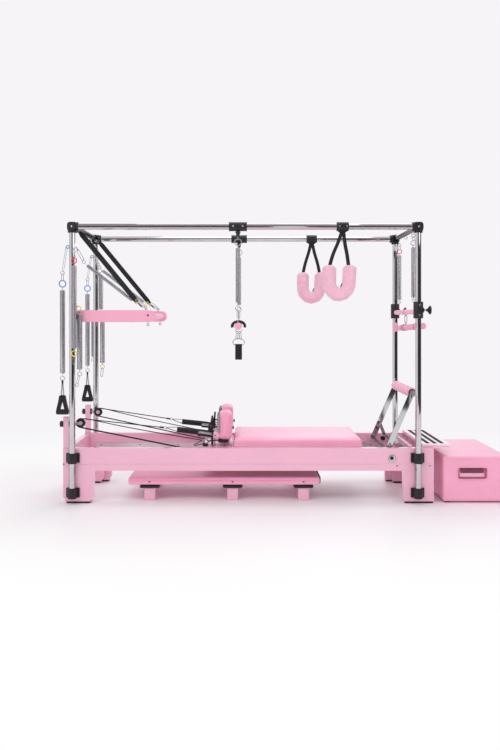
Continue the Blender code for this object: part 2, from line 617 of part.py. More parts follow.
def trapeze():
    """Two sliders on the top rails, their springs, and a padded bar with a sling."""
    bar_z = TRAPEZE_BAR_Z
    hook_z = CANOPY_Z - TRAPEZE_SPRING_DROP
    for side, s in SIDES.items():
        y = s * UPRIGHT_Y
        body = rod((TRAPEZE_X - 0.055, y, CANOPY_Z), (TRAPEZE_X + 0.055, y, CANOPY_Z), 0.029)
        neck = rod((TRAPEZE_X, y, CANOPY_Z - 0.02), (TRAPEZE_X, y, CANOPY_Z - 0.062), 0.010, 12, 0.006)
        hole = rod((TRAPEZE_X - 0.1, y, CANOPY_Z), (TRAPEZE_X + 0.1, y, CANOPY_Z), UPRIGHT_RADIUS + TUBE_PLAY)
        solid("trapeze_slider_" + side, [body, neck], "black_plastic", cuts=[hole])
        hook = (TRAPEZE_X, y, hook_z)
        spring("trapeze_spring_" + side, hook, (TRAPEZE_X, y, bar_z + TRAPEZE_BAR_RADIUS + GAP),
               0.0155, 0.0022, 9, 0.06, origin=hook)
    reach = UPRIGHT_Y + 0.02
    core = rod((TRAPEZE_X, -reach, bar_z), (TRAPEZE_X, reach, bar_z), TRAPEZE_BAR_RADIUS)
    arch = []
    for wide, high, angles in ((0.050, 0.035, range(0, 181, 20)), (0.038, 0.021, range(180, -1, -20))):
        for angle in angles:
            turn = math.radians(angle)
            arch.append((TRAPEZE_X + wide * math.cos(turn), bar_z - 0.004 + high * math.sin(turn)))
    saddle = slab(arch, -SADDLE_HALF, SADDLE_HALF)
    low, high = TRAPEZE_STRAP_Z
    strap = box((TRAPEZE_X - 0.021, -0.03, low), (TRAPEZE_X + 0.021, 0.03, high))
    links = box((TRAPEZE_X - 0.010, -0.012, high - 0.01), (TRAPEZE_X + 0.010, 0.012, bar_z))
    solid("trapeze_bar", [core, saddle, links, strap], "pink_foam", origin=(TRAPEZE_X, 0, hook_z))


def foot_loops():
    """Fleece foot loops, each on a hanger over a top rail."""
    for side, s in SIDES.items():
        hanger = LOOP_HANGER_X[side]
        x = LOOP_X[side]
        y = s * UPRIGHT_Y
        hub = rod((hanger - 0.038, y, CANOPY_Z), (hanger + 0.038, y, CANOPY_Z), 0.028)
        hole = rod((hanger - 0.1, y, CANOPY_Z), (hanger + 0.1, y, CANOPY_Z), UPRIGHT_RADIUS + TUBE_PLAY)
        shapes = [hub]
        for way in (-1, 1):
            shapes.append(bar((hanger + way * 0.008, CANOPY_Z - 0.022),
                              (x + way * LOOP_HALF, LOOP_TOP - 0.01), 0.014, y - 0.004, y + 0.004))
        arc = []
        for step in range(13):
            angle = math.pi + math.pi * step / 12
            arc.append((x + LOOP_HALF * math.cos(angle), y, LOOP_TURN_Z + LOOP_DROP * math.sin(angle)))
        legs = (LOOP_TOP, LOOP_TOP - 0.042, LOOP_TURN_Z + 0.03)
        route = [(x - LOOP_HALF, y, z) for z in legs] + arc + [(x + LOOP_HALF, y, z) for z in reversed(legs)]
        wire = tube("loop_guide", route, LOOP_RADIUS, "fleece", resolution=2)
        mesh = bpy.data.meshes.new_from_object(wire.evaluated_get(bpy.context.evaluated_depsgraph_get()))
        fleece = bmesh.new()
        fleece.from_mesh(mesh)
        bpy.data.objects.remove(wire, do_unlink=True)
        solid("foot_loop_" + side, [fleece] + shapes, "fleece", origin=(hanger, y, CANOPY_Z), cuts=[hole])


def ropes():
    """Each rope runs from the carriage, over the lower side of its pulley, and back to the hand loops."""
    for side, s in SIDES.items():
        arc = []
        for step in range(9):
            angle = math.radians(278 - step * 196 / 8)
            arc.append((PULLEY_X + ROPE_REACH * math.cos(angle), PULLEY_Y,
                        PULLEY_Z + ROPE_REACH * math.sin(angle)))
        route = [(x, s * y, z) for x, y, z in (*ROPE_LOW, *arc, *ROPE_HIGH)]
        tube("rope_" + side, route, 0.0028, "webbing", resolution=2)


def accessories():
    """The sitting box at the foot end, and the mat with its posts under the bed."""
    front = BOX_LOW[1]
    cup = box((HAND_HOLD_X[0], front - HAND_HOLD_DEPTH, HAND_HOLD_Z[0]),
              (HAND_HOLD_X[1], front + HAND_HOLD_DEPTH, HAND_HOLD_Z[1]))
    solid("sitting_box", [box(BOX_LOW, BOX_HIGH)], "pink_vinyl", cuts=[cup])
    pad = box((MAT_HEAD, -MAT_HALF, MAT_Z[0]), (MAT_FOOT, MAT_HALF, MAT_Z[1]))
    posts = []
    for x in MAT_POSTS:
        for s in (-1, 1):
            y = s * MAT_POST_Y
            wide, deep = MAT_POST_HALF
            posts.append(box((x - wide, y - deep, 0.0), (x + wide, y + deep, MAT_Z[0] + 0.01)))
    solid("mat", [pad] + posts, "pink_vinyl")


def centre_on_box():
    for thing in bpy.context.scene.objects:
        thing.location.x -= BOX_MIDDLE_X


def main():
    clear_scene()
    side_frames()
    end_boards()
    tracks()
    platform()
    canopy()
    brackets()
    pulleys()
    carriage()
    carriage_springs()
    footbar()
    push_bar()
    push_bar_hangers()
    handle_springs()
    collars()
    trapeze()
    foot_loops()
    ropes()
    accessories()
    centre_on_box()


main()
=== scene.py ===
"""Looks of the combination reformer: finishes, soft goods, springs, ropes and fittings around the frame."""
import math

import bmesh
import bpy
from mathutils import Matrix, Vector, noise


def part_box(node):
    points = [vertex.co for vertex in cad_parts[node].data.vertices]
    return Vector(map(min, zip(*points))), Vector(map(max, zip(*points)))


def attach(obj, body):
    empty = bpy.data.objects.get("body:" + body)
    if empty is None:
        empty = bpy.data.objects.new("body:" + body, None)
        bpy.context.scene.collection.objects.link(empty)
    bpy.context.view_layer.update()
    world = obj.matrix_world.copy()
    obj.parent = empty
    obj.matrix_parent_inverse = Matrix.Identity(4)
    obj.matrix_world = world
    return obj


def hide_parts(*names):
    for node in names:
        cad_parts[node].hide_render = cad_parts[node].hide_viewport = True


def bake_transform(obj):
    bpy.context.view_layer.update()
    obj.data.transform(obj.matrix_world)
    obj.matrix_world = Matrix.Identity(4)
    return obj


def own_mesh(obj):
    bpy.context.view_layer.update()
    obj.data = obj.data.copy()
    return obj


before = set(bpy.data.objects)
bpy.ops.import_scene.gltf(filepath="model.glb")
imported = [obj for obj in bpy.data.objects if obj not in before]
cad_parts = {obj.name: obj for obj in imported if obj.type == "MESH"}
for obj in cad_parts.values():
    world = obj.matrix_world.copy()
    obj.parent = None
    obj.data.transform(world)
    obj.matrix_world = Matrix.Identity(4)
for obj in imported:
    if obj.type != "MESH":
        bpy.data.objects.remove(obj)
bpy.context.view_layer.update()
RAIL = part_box("side_frame_front")
MID_X = (RAIL[0][0] + RAIL[1][0]) / 2      # middle of the bed; places below are measured from it
SIDES = {"front": -1, "back": 1}
ENDS = {"head": -1, "foot": 1}
WAYS = {"a": -1, "b": 1}

# Places that several pieces share
UPRIGHT_Y = 0.3725
CANOPY_Z = 1.765
HEAD_X, FOOT_X = -1.12, 1.079
PULLEY_X, PULLEY_Y, PULLEY_Z = -1.085, 0.285, 0.505
RAIL_FACE = 0.345
ARM_Y = 0.335
LOOP_X = {"front": 0.575, "back": 0.463}
HANGER_X = {"front": 0.598, "back": 0.465}
FOOT_SPRING_X = {"front": 1.061, "back": 1.099}
TRAPEZE_X, TRAPEZE_Z = -0.067, 1.131

# The photograph's frame and the camera that took it
IMAGE_W, IMAGE_H = 500, 750
FOCAL_PX = 749
HORIZON_PX = 318.7
VANISH_PX = 247.0
CAMERA = (-0.0095, -5.1325, 1.18)


def at(x, y, z):
    """A place measured from the middle of the bed, on the floor."""
    return Vector((MID_X + x, y, z))


def make_camera():
    data = bpy.data.cameras.new("camera")
    data.sensor_width = 36.0
    data.lens = FOCAL_PX * data.sensor_width / IMAGE_H
    data.shift_x = (IMAGE_W / 2 - VANISH_PX) / IMAGE_H
    data.shift_y = (HORIZON_PX - IMAGE_H / 2) / IMAGE_H
    camera = bpy.data.objects.new("camera", data)
    camera.location = at(*CAMERA)
    camera.rotation_euler = (math.pi / 2, 0, 0)
    bpy.context.collection.objects.link(camera)
    bpy.context.scene.camera = camera


# Materials


def linear(red, green, blue):
    """A colour given as 0 to 255 in sRGB, as the shader wants it."""
    def one(value):
        value /= 255
        return value / 12.92 if value <= 0.04045 else ((value + 0.055) / 1.055) ** 2.4
    return (one(red), one(green), one(blue), 1.0)


class Finish:
    """A Principled material with a mottled base colour, uneven gloss and a layered bump."""

    def __init__(self, name, colour, rough, metal=0.0, mottle=0.06, mottle_scale=9.0):
        self.material = bpy.data.materials.new(name)
        self.material.use_nodes = True
        self.tree = self.material.node_tree
        self.shader = self.tree.nodes["Principled BSDF"]
        self.shader.inputs["Metallic"].default_value = metal
        self.place = self.node("ShaderNodeTexCoord").outputs["Object"]
        self.height = None
        cloud = self.noise(mottle_scale, 4.0)
        ramp = self.node("ShaderNodeValToRGB")
        base = Vector(colour[:3])
        for stop, gain in zip(ramp.color_ramp.elements, (1.0 - mottle, 1.0 + mottle)):
            stop.color = (*[min(1.0, part * gain) for part in base], 1.0)
        ramp.color_ramp.elements[0].position = 0.3
        ramp.color_ramp.elements[1].position = 0.7
        self.link(cloud, ramp.inputs["Fac"])
        self.link(ramp.outputs["Color"], self.shader.inputs["Base Color"])
        self.colour = ramp.outputs["Color"]
        wear = self.node("ShaderNodeMapRange", To_Min=max(0.02, rough * 0.85),
                         To_Max=min(1.0, rough * 1.15))
        self.link(self.noise(mottle_scale * 2.7, 3.0), wear.inputs["Value"])
        self.link(wear.outputs["Result"], self.shader.inputs["Roughness"])

    def node(self, kind, **values):
        """A new node, with the named inputs set."""
        made = self.tree.nodes.new(kind)
        self.fill(made, values)
        return made

    def fill(self, node, values):
        for name, value in values.items():
            node.inputs[name.replace("_", " ")].default_value = value

    def link(self, output, socket):
        self.tree.links.new(output, socket)

    def noise(self, scale, detail=2.0, stretch=(1, 1, 1)):
        texture = self.node("ShaderNodeTexNoise", Scale=scale, Detail=detail)
        self.link(self.stretched(stretch), texture.inputs["Vector"])
        return texture.outputs["Fac"]

    def stretched(self, stretch, turn=(0, 0, 0)):
        mapping = self.node("ShaderNodeMapping", Scale=stretch, Rotation=turn)
        self.link(self.place, mapping.inputs["Vector"])
        return mapping.outputs["Vector"]

    def cells(self, scale):
        texture = self.node("ShaderNodeTexVoronoi", Scale=scale)
        texture.feature = "DISTANCE_TO_EDGE"
        self.link(self.place, texture.inputs["Vector"])
        return texture.outputs["Distance"]

    def waves(self, scale, turn=(0, 0, 0)):
        texture = self.node("ShaderNodeTexWave", Scale=scale)
        texture.bands_direction = "DIAGONAL"
        self.link(self.stretched((1, 1, 1), turn), texture.inputs["Vector"])
        return texture.outputs["Fac"]

    def combine(self, first, second, operation="MULTIPLY"):
        math_node = self.node("ShaderNodeMath")
        math_node.operation = operation
        self.link(first, math_node.inputs[0])
        self.link(second, math_node.inputs[1])
        return math_node.outputs[0]

    def bump(self, height, strength, distance):
        """Adds one more layer of bump over the ones before."""
        layer = self.node("ShaderNodeBump", Strength=strength, Distance=distance)
        self.link(height, layer.inputs["Height"])
        if self.height:
            self.link(self.height, layer.inputs["Normal"])
        self.height = layer.outputs["Normal"]
        self.link(self.height, self.shader.inputs["Normal"])
        return self

    def shade_by(self, value, low, high):
        """Darkens the colour where the value is low: painted shade in the hollows of a pattern."""
        ramp = self.node("ShaderNodeMapRange", To_Min=low, To_Max=high)
        self.link(value, ramp.inputs["Value"])
        mix = self.node("ShaderNodeMix")
        mix.data_type = "RGBA"
        mix.blend_type = "MULTIPLY"
        mix.inputs["Factor"].default_value = 1.0
        self.link(self.colour, mix.inputs["A"])
        self.link(ramp.outputs["Result"], mix.inputs["B"])
        self.colour = mix.outputs["Result"]
        self.link(self.colour, self.shader.inputs["Base Color"])
        return self

    def set(self, **values):
        self.fill(self.shader, values)
        return self


def paint(name, colour, rough=0.32):
    look = Finish(name, colour, rough, mottle=0.025, mottle_scale=3.0)
    look.bump(look.noise(260.0, 2.0), 0.05, 0.0004)
    look.bump(look.noise(14.0, 2.0), 0.03, 0.002)
    return look.set(Coat_Weight=0.9, Coat_Roughness=0.1).material


def vinyl(name, colour):
    look = Finish(name, colour, 0.42, mottle=0.035, mottle_scale=5.0)
    look.bump(look.cells(620.0), 0.25, 0.0004)
    look.bump(look.noise(1400.0, 2.0), 0.08, 0.0002)
    look.bump(look.noise(7.0, 2.0), 0.1, 0.004)
    return look.set(Coat_Weight=0.45, Coat_Roughness=0.25).material


def foam(name, colour):
    look = Finish(name, colour, 0.85, mottle=0.05, mottle_scale=30.0)
    look.bump(look.noise(900.0, 3.0), 0.4, 0.0006)
    look.bump(look.cells(420.0), 0.2, 0.0005)
    return look.set(Sheen_Weight=0.3).material


def fleece(name, colour):
    look = Finish(name, colour, 1.0, mottle=0.1, mottle_scale=70.0)
    look.bump(look.noise(210.0, 4.0), 0.7, 0.004)
    look.bump(look.noise(900.0, 4.0), 0.6, 0.0015)
    return look.set(Sheen_Weight=0.8, Sheen_Roughness=0.6).material


def bright_metal(name, colour, rough, brush=(1, 1, 1)):
    look = Finish(name, colour, rough, metal=1.0, mottle=0.04, mottle_scale=11.0)
    look.bump(look.noise(400.0, 2.0, brush), 0.05, 0.0002)
    return look.set(Specular_Tint=(0.3, 0.29, 0.31, 1.0)).material


def plastic(name, colour, rough=0.45):
    look = Finish(name, colour, rough, mottle=0.12, mottle_scale=40.0)
    look.bump(look.noise(700.0, 2.0), 0.15, 0.0004)
    return look.material


def woven(name, colour, threads=520.0):
    look = Finish(name, colour, 0.85, mottle=0.15, mottle_scale=60.0)
    over = look.waves(threads)
    under = look.waves(threads, (math.pi / 2, 0, math.pi / 2))
    weave = look.combine(over, under, "ADD")
    look.bump(weave, 0.5, 0.0006)
    # The colour follows the weave's height and is darker where it sinks between the threads: painted shade
    # in its hollows.
    return look.shade_by(weave, 0.55, 1.1).set(Sheen_Weight=0.25).material


def grit(name, colour):
    look = Finish(name, colour, 0.95, mottle=0.35, mottle_scale=700.0)
    return look.bump(look.noise(1500.0, 3.0), 0.8, 0.0008).material


PINK = linear(243, 182, 206)
DEEP_PINK = linear(250, 172, 203)
BACKGROUND = linear(246, 244, 247)
MAT = {
    "paint": paint("pink_lacquer", PINK),
    "arm": paint("arm_lacquer", linear(252, 178, 205)),
    "vinyl": vinyl("pink_vinyl", DEEP_PINK),
    "rest": vinyl("rest_vinyl", linear(244, 160, 191)),
    "foam": foam("pink_foam", linear(246, 172, 200)),
    "fleece": fleece("pink_fleece", linear(255, 191, 214)),
    "chrome": bright_metal("chrome_plate", (0.6, 0.59, 0.6), 0.06, (1, 1, 0.05)),
    "alu": bright_metal("satin_aluminium", (0.8, 0.78, 0.8), 0.32, (0.03, 1, 1)),
    "steel": bright_metal("bright_steel", (0.58, 0.58, 0.61), 0.22),
    "plate": bright_metal("grey_plate", (0.42, 0.42, 0.43), 0.38, (1, 1, 0.05)),
    "black": plastic("black_nylon", linear(24, 24, 27)),
    "rubber": plastic("black_rubber", linear(18, 18, 20), 0.75),
    "webbing": woven("black_webbing", linear(26, 26, 28)),
    "rope": woven("braided_rope", linear(20, 20, 22), 900.0),
    "strap_grey": woven("grey_strap", linear(176, 174, 180)),
    "grit": grit("grip_strip", linear(44, 42, 46)),
    # Pale white-pink of the standing platform's top. The thin cord under each rail's groove wears it too,
    # as a painted highlight.
    "platform": paint("platform_top", linear(250, 228, 238), 0.5),
    "brass": bright_metal("brass_pin", (0.78, 0.6, 0.22), 0.25),
    "blue": plastic("blue_ring", linear(64, 140, 205), 0.3),
    "red": plastic("red_ring", linear(224, 58, 74), 0.3),
    "yellow": plastic("yellow_ring", linear(236, 214, 60), 0.3),
    # Dark pink: painted shade on the holes of the head uprights and in the slot of the hand hold. Small
    # screw heads on pink parts take the same colour.
    "dark": plastic("dark_pink_and_painted_gap_shade", linear(120, 60, 80), 0.8),
    "card": plastic("reflector_card", linear(58, 54, 56), 1.0),
    "card_above": plastic("reflector_card_above", linear(168, 158, 163), 1.0),
}


# Shapes


def finish_piece(piece, look, body, replaces=()):
    """Gives a piece its finish and its body. One that bends between two bodies rides on none."""
    piece.data.materials.clear()
    piece.data.materials.append(MAT[look])
    if body:
        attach(piece, body)
    if replaces:
        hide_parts(*replaces)
    return piece


def mesh_piece(name, shape, look, body, replaces=(), bevel=0.0, segments=2, angle=35):
    """An object from a shape, its hard edges rounded, riding on a body."""
    mesh = bpy.data.meshes.new(name)
    bmesh.ops.recalc_face_normals(shape, faces=shape.faces)
    if bevel:
        hard = [edge for edge in shape.edges
                if edge.is_manifold and edge.calc_face_angle() > math.radians(28)]
        bmesh.ops.bevel(shape, geom=hard, offset=bevel, segments=segments, affect="EDGES",
                        clamp_overlap=True)
    shape.to_mesh(mesh)
    shape.free()
    mesh.shade_smooth()
    mesh.set_sharp_from_angle(angle=math.radians(angle))
    piece = bpy.data.objects.new(name, mesh)
    bpy.context.collection.objects.link(piece)
    return finish_piece(piece, look, body, replaces)


def add_box(shape, low, high):
    """Adds a box between two corners to a shape."""
    made = bmesh.ops.create_cube(shape, size=1.0)["verts"]
    bmesh.ops.scale(shape, vec=Vector(high) - Vector(low), verts=made)
    bmesh.ops.translate(shape, vec=(Vector(high) + Vector(low)) / 2, verts=made)
    return shape


def add_rod(shape, start, end, radius, sides=24, end_radius=None):
    """Adds a round rod or cone to a shape."""
    start = Vector(start)
    along = Vector(end) - start
    made = bmesh.ops.create_cone(shape, cap_ends=True, segments=sides, radius1=radius,
                                 radius2=radius if end_radius is None else end_radius,
                                 depth=along.length)["verts"]
    turn = along.to_track_quat("Z", "Y").to_matrix().to_4x4()
    bmesh.ops.transform(shape, matrix=Matrix.Translation(start + along / 2) @ turn, verts=made)
    return shape


def skin(shape, rows, closed=False):
    """Faces between rows of corners, each row a loop. The end rows are capped or, if closed, joined."""
    for first, second in zip(rows, rows[1:] + (rows[:1] if closed else [])):
        for i in range(len(first)):
            j = (i + 1) % len(first)
            shape.faces.new((first[i], first[j], second[j], second[i]))
    if not closed:
        shape.faces.new(list(reversed(rows[0])))
        shape.faces.new(rows[-1])
    return shape


def turned_ring(centre, axis, profile, steps=40):
    """A bored ring: (radius, distance along) pairs around X, Y or Z, the axis given as 0, 1 or 2."""
    shape = bmesh.new()
    rows = []
    for step in range(steps):
        angle = 2 * math.pi * step / steps
        row = []
        for radius, along in profile:
            place = [radius * math.cos(angle), radius * math.sin(angle)]
            place.insert(axis, along)
            row.append(shape.verts.new(centre + Vector(place)))
        rows.append(row)
    return skin(shape, rows, closed=True)


def slab(outline, y0, y1):
    """A plate between two Ys, from an outline of (x, z) pairs."""
    shape = bmesh.new()
    near = [shape.verts.new(at(x, y0, z)) for x, z in outline]
    far = [shape.verts.new(at(x, y1, z)) for x, z in outline]
    shape.faces.new(near)
    shape.faces.new(list(reversed(far)))
    for i in range(len(outline)):
        j = (i + 1) % len(outline)
        shape.faces.new((near[j], near[i], far[i], far[j]))
    return shape


def block(name, low, high, look, body, bevel=0.003, segments=3):
    return mesh_piece(name, add_box(bmesh.new(), low, high), look, body, (), bevel, segments)


def rod(name, start, end, radius, look, body, bevel=0.0012, sides=28, end_radius=None):
    shape = add_rod(bmesh.new(), start, end, radius, sides, end_radius)
    return mesh_piece(name, shape, look, body, (), bevel)


def turned(name, start, way, profile, look, body, replaces=(), sides=40):
    """A body of revolution: (distance along, radius) pairs around a line."""
    start, way = Vector(start), Vector(way).normalized()
    across = way.orthogonal().normalized()
    other = way.cross(across)
    shape = bmesh.new()
    rows = []
    for along, radius in profile:
        rows.append([shape.verts.new(start + way * along + across * radius * math.cos(a)
                                     + other * radius * math.sin(a))
                     for a in (2 * math.pi * step / sides for step in range(sides))])
    return mesh_piece(name, skin(shape, rows), look, body, replaces, angle=50)


def foam_roller(name, start, end, radius, body, replaces=(), round_end=0.006):
    """A foam sleeve with rounded ends and a faintly uneven skin."""
    start, end = Vector(start), Vector(end)
    length = (end - start).length
    profile = [(round_end * (1 - math.cos(math.radians(a))),
                radius - round_end * (1 - math.sin(math.radians(a)))) for a in (0, 20, 40, 60, 90)]
    middle = [(x, radius + 0.0003 * math.sin(x * 70)) for x in
              (round_end + (length - 2 * round_end) * step / 24 for step in range(1, 24))]
    ends = [(length - x, r) for x, r in reversed(profile)]
    piece = turned(name, start, end - start, profile + middle + ends, "foam", body, replaces)
    return piece


def as_mesh(piece):
    """The mesh of a curve piece, for one that has to bend or flatten."""
    name = piece.name
    graph = bpy.context.evaluated_depsgraph_get()
    mesh = bpy.data.meshes.new_from_object(piece.evaluated_get(graph))
    bpy.data.objects.remove(piece, do_unlink=True)
    mesh.shade_smooth()
    made = bpy.data.objects.new(name, mesh)
    bpy.context.collection.objects.link(made)
    return made


def cable(name, points, radius, look, body, replaces=(), smooth=True, resolution=3, closed=False,
          mesh=False):
    """A round wire, rope or tube through the points."""
    curve = bpy.data.curves.new(name, "CURVE")
    curve.dimensions = "3D"
    curve.bevel_depth = radius
    curve.bevel_resolution = resolution
    curve.use_fill_caps = True
    curve.resolution_u = 6
    spline = curve.splines.new("BEZIER" if smooth else "POLY")
    if smooth:
        spline.bezier_points.add(len(points) - 1)
        for knot, point in zip(spline.bezier_points, points):
            knot.co = point
            knot.handle_left_type = knot.handle_right_type = "AUTO"
    else:
        spline.points.add(len(points) - 1)
        for knot, point in zip(spline.points, points):
            knot.co = (*point, 1.0)
    spline.use_cyclic_u = closed
    piece = bpy.data.objects.new(name, curve)
    bpy.context.collection.objects.link(piece)
    if mesh or not body:
        piece = as_mesh(piece)
    return finish_piece(piece, look, body, replaces)


def circle(centre, axis, radius, steps=20):
    turn = Vector(axis).to_track_quat("Z", "Y")
    centre = Vector(centre)
    return [centre + turn @ Vector((radius * math.cos(a), radius * math.sin(a), 0))
            for a in (2 * math.pi * step / steps for step in range(steps))]


def hoop(name, centre, axis, radius, wire, body, look="steel"):
    """A closed round ring."""
    return cable(name, circle(centre, axis, radius), wire, look, body, smooth=False, resolution=2,
                 closed=True)


def long_ring(name, start, end, width, wire, body):
    """A snap hook or chain link: a long steel ring between two points, broad across Y."""
    start, end = Vector(start), Vector(end)
    way = (end - start).normalized()
    side = way.cross(Vector((0, 1, 0))).normalized() * width / 2
    reach = width / 2
    points = []
    for centre, sign in ((end - way * reach, 1), (start + way * reach, -1)):
        for step in range(7):
            angle = math.pi * step / 6
            points.append(centre + side * sign * math.cos(angle) + way * reach * sign * math.sin(angle))
    return cable(name, points, wire, "steel", body, smooth=False, resolution=2, closed=True)


def wound(name, top, bottom, radius, wire, body, replaces=(), hook=0.012, pitch=2.35):
    """A finely wound extension spring with a hook at each end."""
    top, bottom = Vector(top), Vector(bottom)
    way = (bottom - top).normalized()
    across = way.orthogonal().normalized()
    other = way.cross(across)
    length = (bottom - top).length - 2 * hook
    turns = max(4, round(length / (wire * pitch)))
    per_turn = 10
    points = [top, top + way * hook * 0.5]
    for step in range(turns * per_turn + 1):
        part = step / (turns * per_turn)
        angle = 2 * math.pi * turns * part
        reach = radius * min(1.0, 0.35 + step / per_turn, 0.35 + (turns * per_turn - step) / per_turn)
        points.append(top + way * (hook + length * part)
                      + across * reach * math.cos(angle) + other * reach * math.sin(angle))
    points += [bottom - way * hook * 0.5, bottom]
    return cable(name, points, wire, "steel", body, replaces, smooth=False, resolution=1)


def ribbon(name, route, width, thick, look, body, replaces=(), across=(0, 1, 0), ends=1.0):
    """A flat strap along the route, its width along the given direction, with soft edges. Its ends can be
    narrower than its middle, by the given share."""
    points = smooth_route(route)
    across = Vector(across).normalized()
    shape = bmesh.new()
    rows = []
    for index, point in enumerate(points):
        before = points[max(0, index - 1)]
        after = points[min(len(points) - 1, index + 1)]
        up = (after - before).normalized().cross(across).normalized()
        far = min(index, len(points) - 1 - index) / max(1, len(points) // 8)
        half = width * (ends + (1 - ends) * min(1.0, far)) / 2
        deep = thick / 2
        corners = ((-half, -deep * 0.3), (-half * 0.93, -deep), (half * 0.93, -deep), (half, -deep * 0.3),
                   (half, deep * 0.3), (half * 0.93, deep), (-half * 0.93, deep), (-half, deep * 0.3))
        rows.append([shape.verts.new(point + across * a + up * b) for a, b in corners])
    return mesh_piece(name, skin(shape, rows), look, body, replaces)


def smooth_route(route):
    """Cuts the corners of a route three times, keeping its ends."""
    points = [Vector(point) for point in route]
    for _ in range(3):
        cut = [points[0]]
        for first, second in zip(points, points[1:]):
            cut += [first.lerp(second, 0.25), first.lerp(second, 0.75)]
        points = cut + [points[-1]]
    return points


def cushion_mesh(low, high, corner, crown=0.0, pull=0.0, counts=(28, 20, 8)):
    """A closed padded block: rounded edges, a crowned top and sides that draw in along their middle."""
    low, high = Vector(low), Vector(high)
    half, middle = (high - low) / 2, (high + low) / 2
    shape = bmesh.new()
    seen = {}

    def spread(step, count):
        t = 2 * step / count - 1
        return math.copysign(1 - (1 - abs(t)) ** 1.7, t)

    def vert(x, y, z):
        key = (round(x, 5), round(y, 5), round(z, 5))
        if key not in seen:
            point = Vector((x * half.x, y * half.y, z * half.z))
            inner = Vector([max(-h + corner, min(h - corner, p)) for p, h in zip(point, half)])
            out = point - inner
            if out.length > 0:
                point = inner + out.normalized() * corner
            dome = (1 - x ** 4) * (1 - y ** 4)
            point.z += crown * max(0.0, z) * dome
            draw = pull * (1 - z * z)
            point.x -= math.copysign(draw, x) * abs(x) ** 12 * (1 - y ** 6)
            point.y -= math.copysign(draw, y) * abs(y) ** 12 * (1 - x ** 6)
            seen[key] = shape.verts.new(point + middle)
        return seen[key]

    for fixed in range(3):
        a, b = [axis for axis in range(3) if axis != fixed]
        for side in (-1, 1):
            for i in range(counts[a]):
                for j in range(counts[b]):
                    quad = []
                    for di, dj in ((0, 0), (1, 0), (1, 1), (0, 1)):
                        place = [0.0, 0.0, 0.0]
                        place[fixed] = side
                        place[a] = spread(i + di, counts[a])
                        place[b] = spread(j + dj, counts[b])
                        quad.append(vert(*place))
                    shape.faces.new(quad)
    return shape


def seam(name, low, high, z, corner, look, body, inset=0.0):
    """A sewn edge: a fine cord around a padded block at one height."""
    points = []
    for x, y, first in ((high[0], high[1], 0), (low[0], high[1], 90), (low[0], low[1], 180),
                        (high[0], low[1], 270)):
        cx = x - math.copysign(corner + inset, x - (low[0] + high[0]) / 2)
        cy = y - math.copysign(corner + inset, y - (low[1] + high[1]) / 2)
        for step in range(5):
            angle = math.radians(first + 90 * step / 4)
            points.append((cx + corner * math.cos(angle), cy + corner * math.sin(angle), z))
    return cable(name, points, 0.0016, look, body, smooth=False, resolution=2, closed=True)


def screw(name, centre, out, radius, look, body, depth=0.003):
    """A round screw head with a hexagon socket, standing proud along the given direction."""
    out = Vector(out).normalized()
    centre = Vector(centre)
    shape = bmesh.new()
    add_rod(shape, centre - out * 0.002, centre + out * depth, radius, 20)
    top = max(shape.faces, key=lambda face: face.calc_center_median().dot(out))
    bmesh.ops.inset_individual(shape, faces=[top], thickness=radius * 0.45)
    bmesh.ops.translate(shape, vec=-out * depth * 0.7, verts=top.verts)
    return mesh_piece(name, shape, look, body, bevel=0.0004)


def finish_nodes(look, *nodes):
    """Gives CAD nodes that are kept their finish."""
    for node in nodes:
        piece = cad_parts[node]
        piece.data.materials.clear()
        piece.data.materials.append(MAT[look])


# The bed


def bed():
    """Screws, foot pads, bolts and pivot covers of the two side frames."""
    finish_nodes("paint", "side_frame_front", "side_frame_back", "head_board", "foot_board", "spring_bar",
                 "carriage_base", "riser_front", "riser_back")
    finish_nodes("alu", "track_front", "track_back")
    half = (RAIL[1][0] - RAIL[0][0]) / 2
    for side, s in SIDES.items():
        inner_wall = s * 0.2885
        for count in range(8):
            x = -1.062 + 0.2785 * count
            for row, z in enumerate((0.243, 0.267)):
                screw(f"track_screw_{side}_{count}_{row}", at(x, inner_wall, z), (0, -s, 0), 0.0045,
                      "black", "frame", 0.0015)
        for where, end in ENDS.items():
            cut = 0.026 if end < 0 else 0.005
            low_x, high_x = sorted((end * (half - cut), end * (half - 0.194 + cut)))
            low_y, high_y = sorted((s * 0.295, s * 0.3462))
            shape = add_box(bmesh.new(), at(low_x, low_y, 0.0), at(high_x, high_y, 0.0135))
            for corner in shape.verts:
                if corner.co.z > 0.01 and end < 0:
                    corner.co.x += 0.0095 * (1 if corner.co.x > at((low_x + high_x) / 2, 0, 0).x else -1)
            mesh_piece(f"foot_pad_{side}_{where}", shape, "rubber", "frame", bevel=0.0015)
            low_x, high_x = sorted((end * (half - cut), end * (half - 0.149 + cut)))
            low_y, high_y = sorted((s * 0.2435, s * 0.295))
            block(f"foot_pad_inner_{side}_{where}", at(low_x, low_y, 0.0), at(high_x, high_y, 0.0125),
                  "rubber", "frame", bevel=0.0015)
        for name, x, z, size in (("low", 0.95, 0.24, 0.0045), ("foot", 1.16, 0.24, 0.0045),
                                 ("head", -1.18, 0.25, 0.0055)):
            screw(f"rail_bolt_{name}_{side}", at(x, s * RAIL_FACE, z), (0, s, 0), size, "black", "frame",
                  0.0015)
        boss = add_rod(bmesh.new(), at(0.918, s * 0.344, 0.287), at(0.918, s * 0.352, 0.287), 0.024, 40)
        mesh_piece("pivot_cover_" + side, boss, "chrome", "frame", bevel=0.004, segments=4)
        rod("pivot_cap_" + side, at(0.915, s * 0.3515, 0.29), at(0.915, s * 0.3545, 0.29), 0.0125, "black",
            "frame")
        rail_trim(side, s, half)


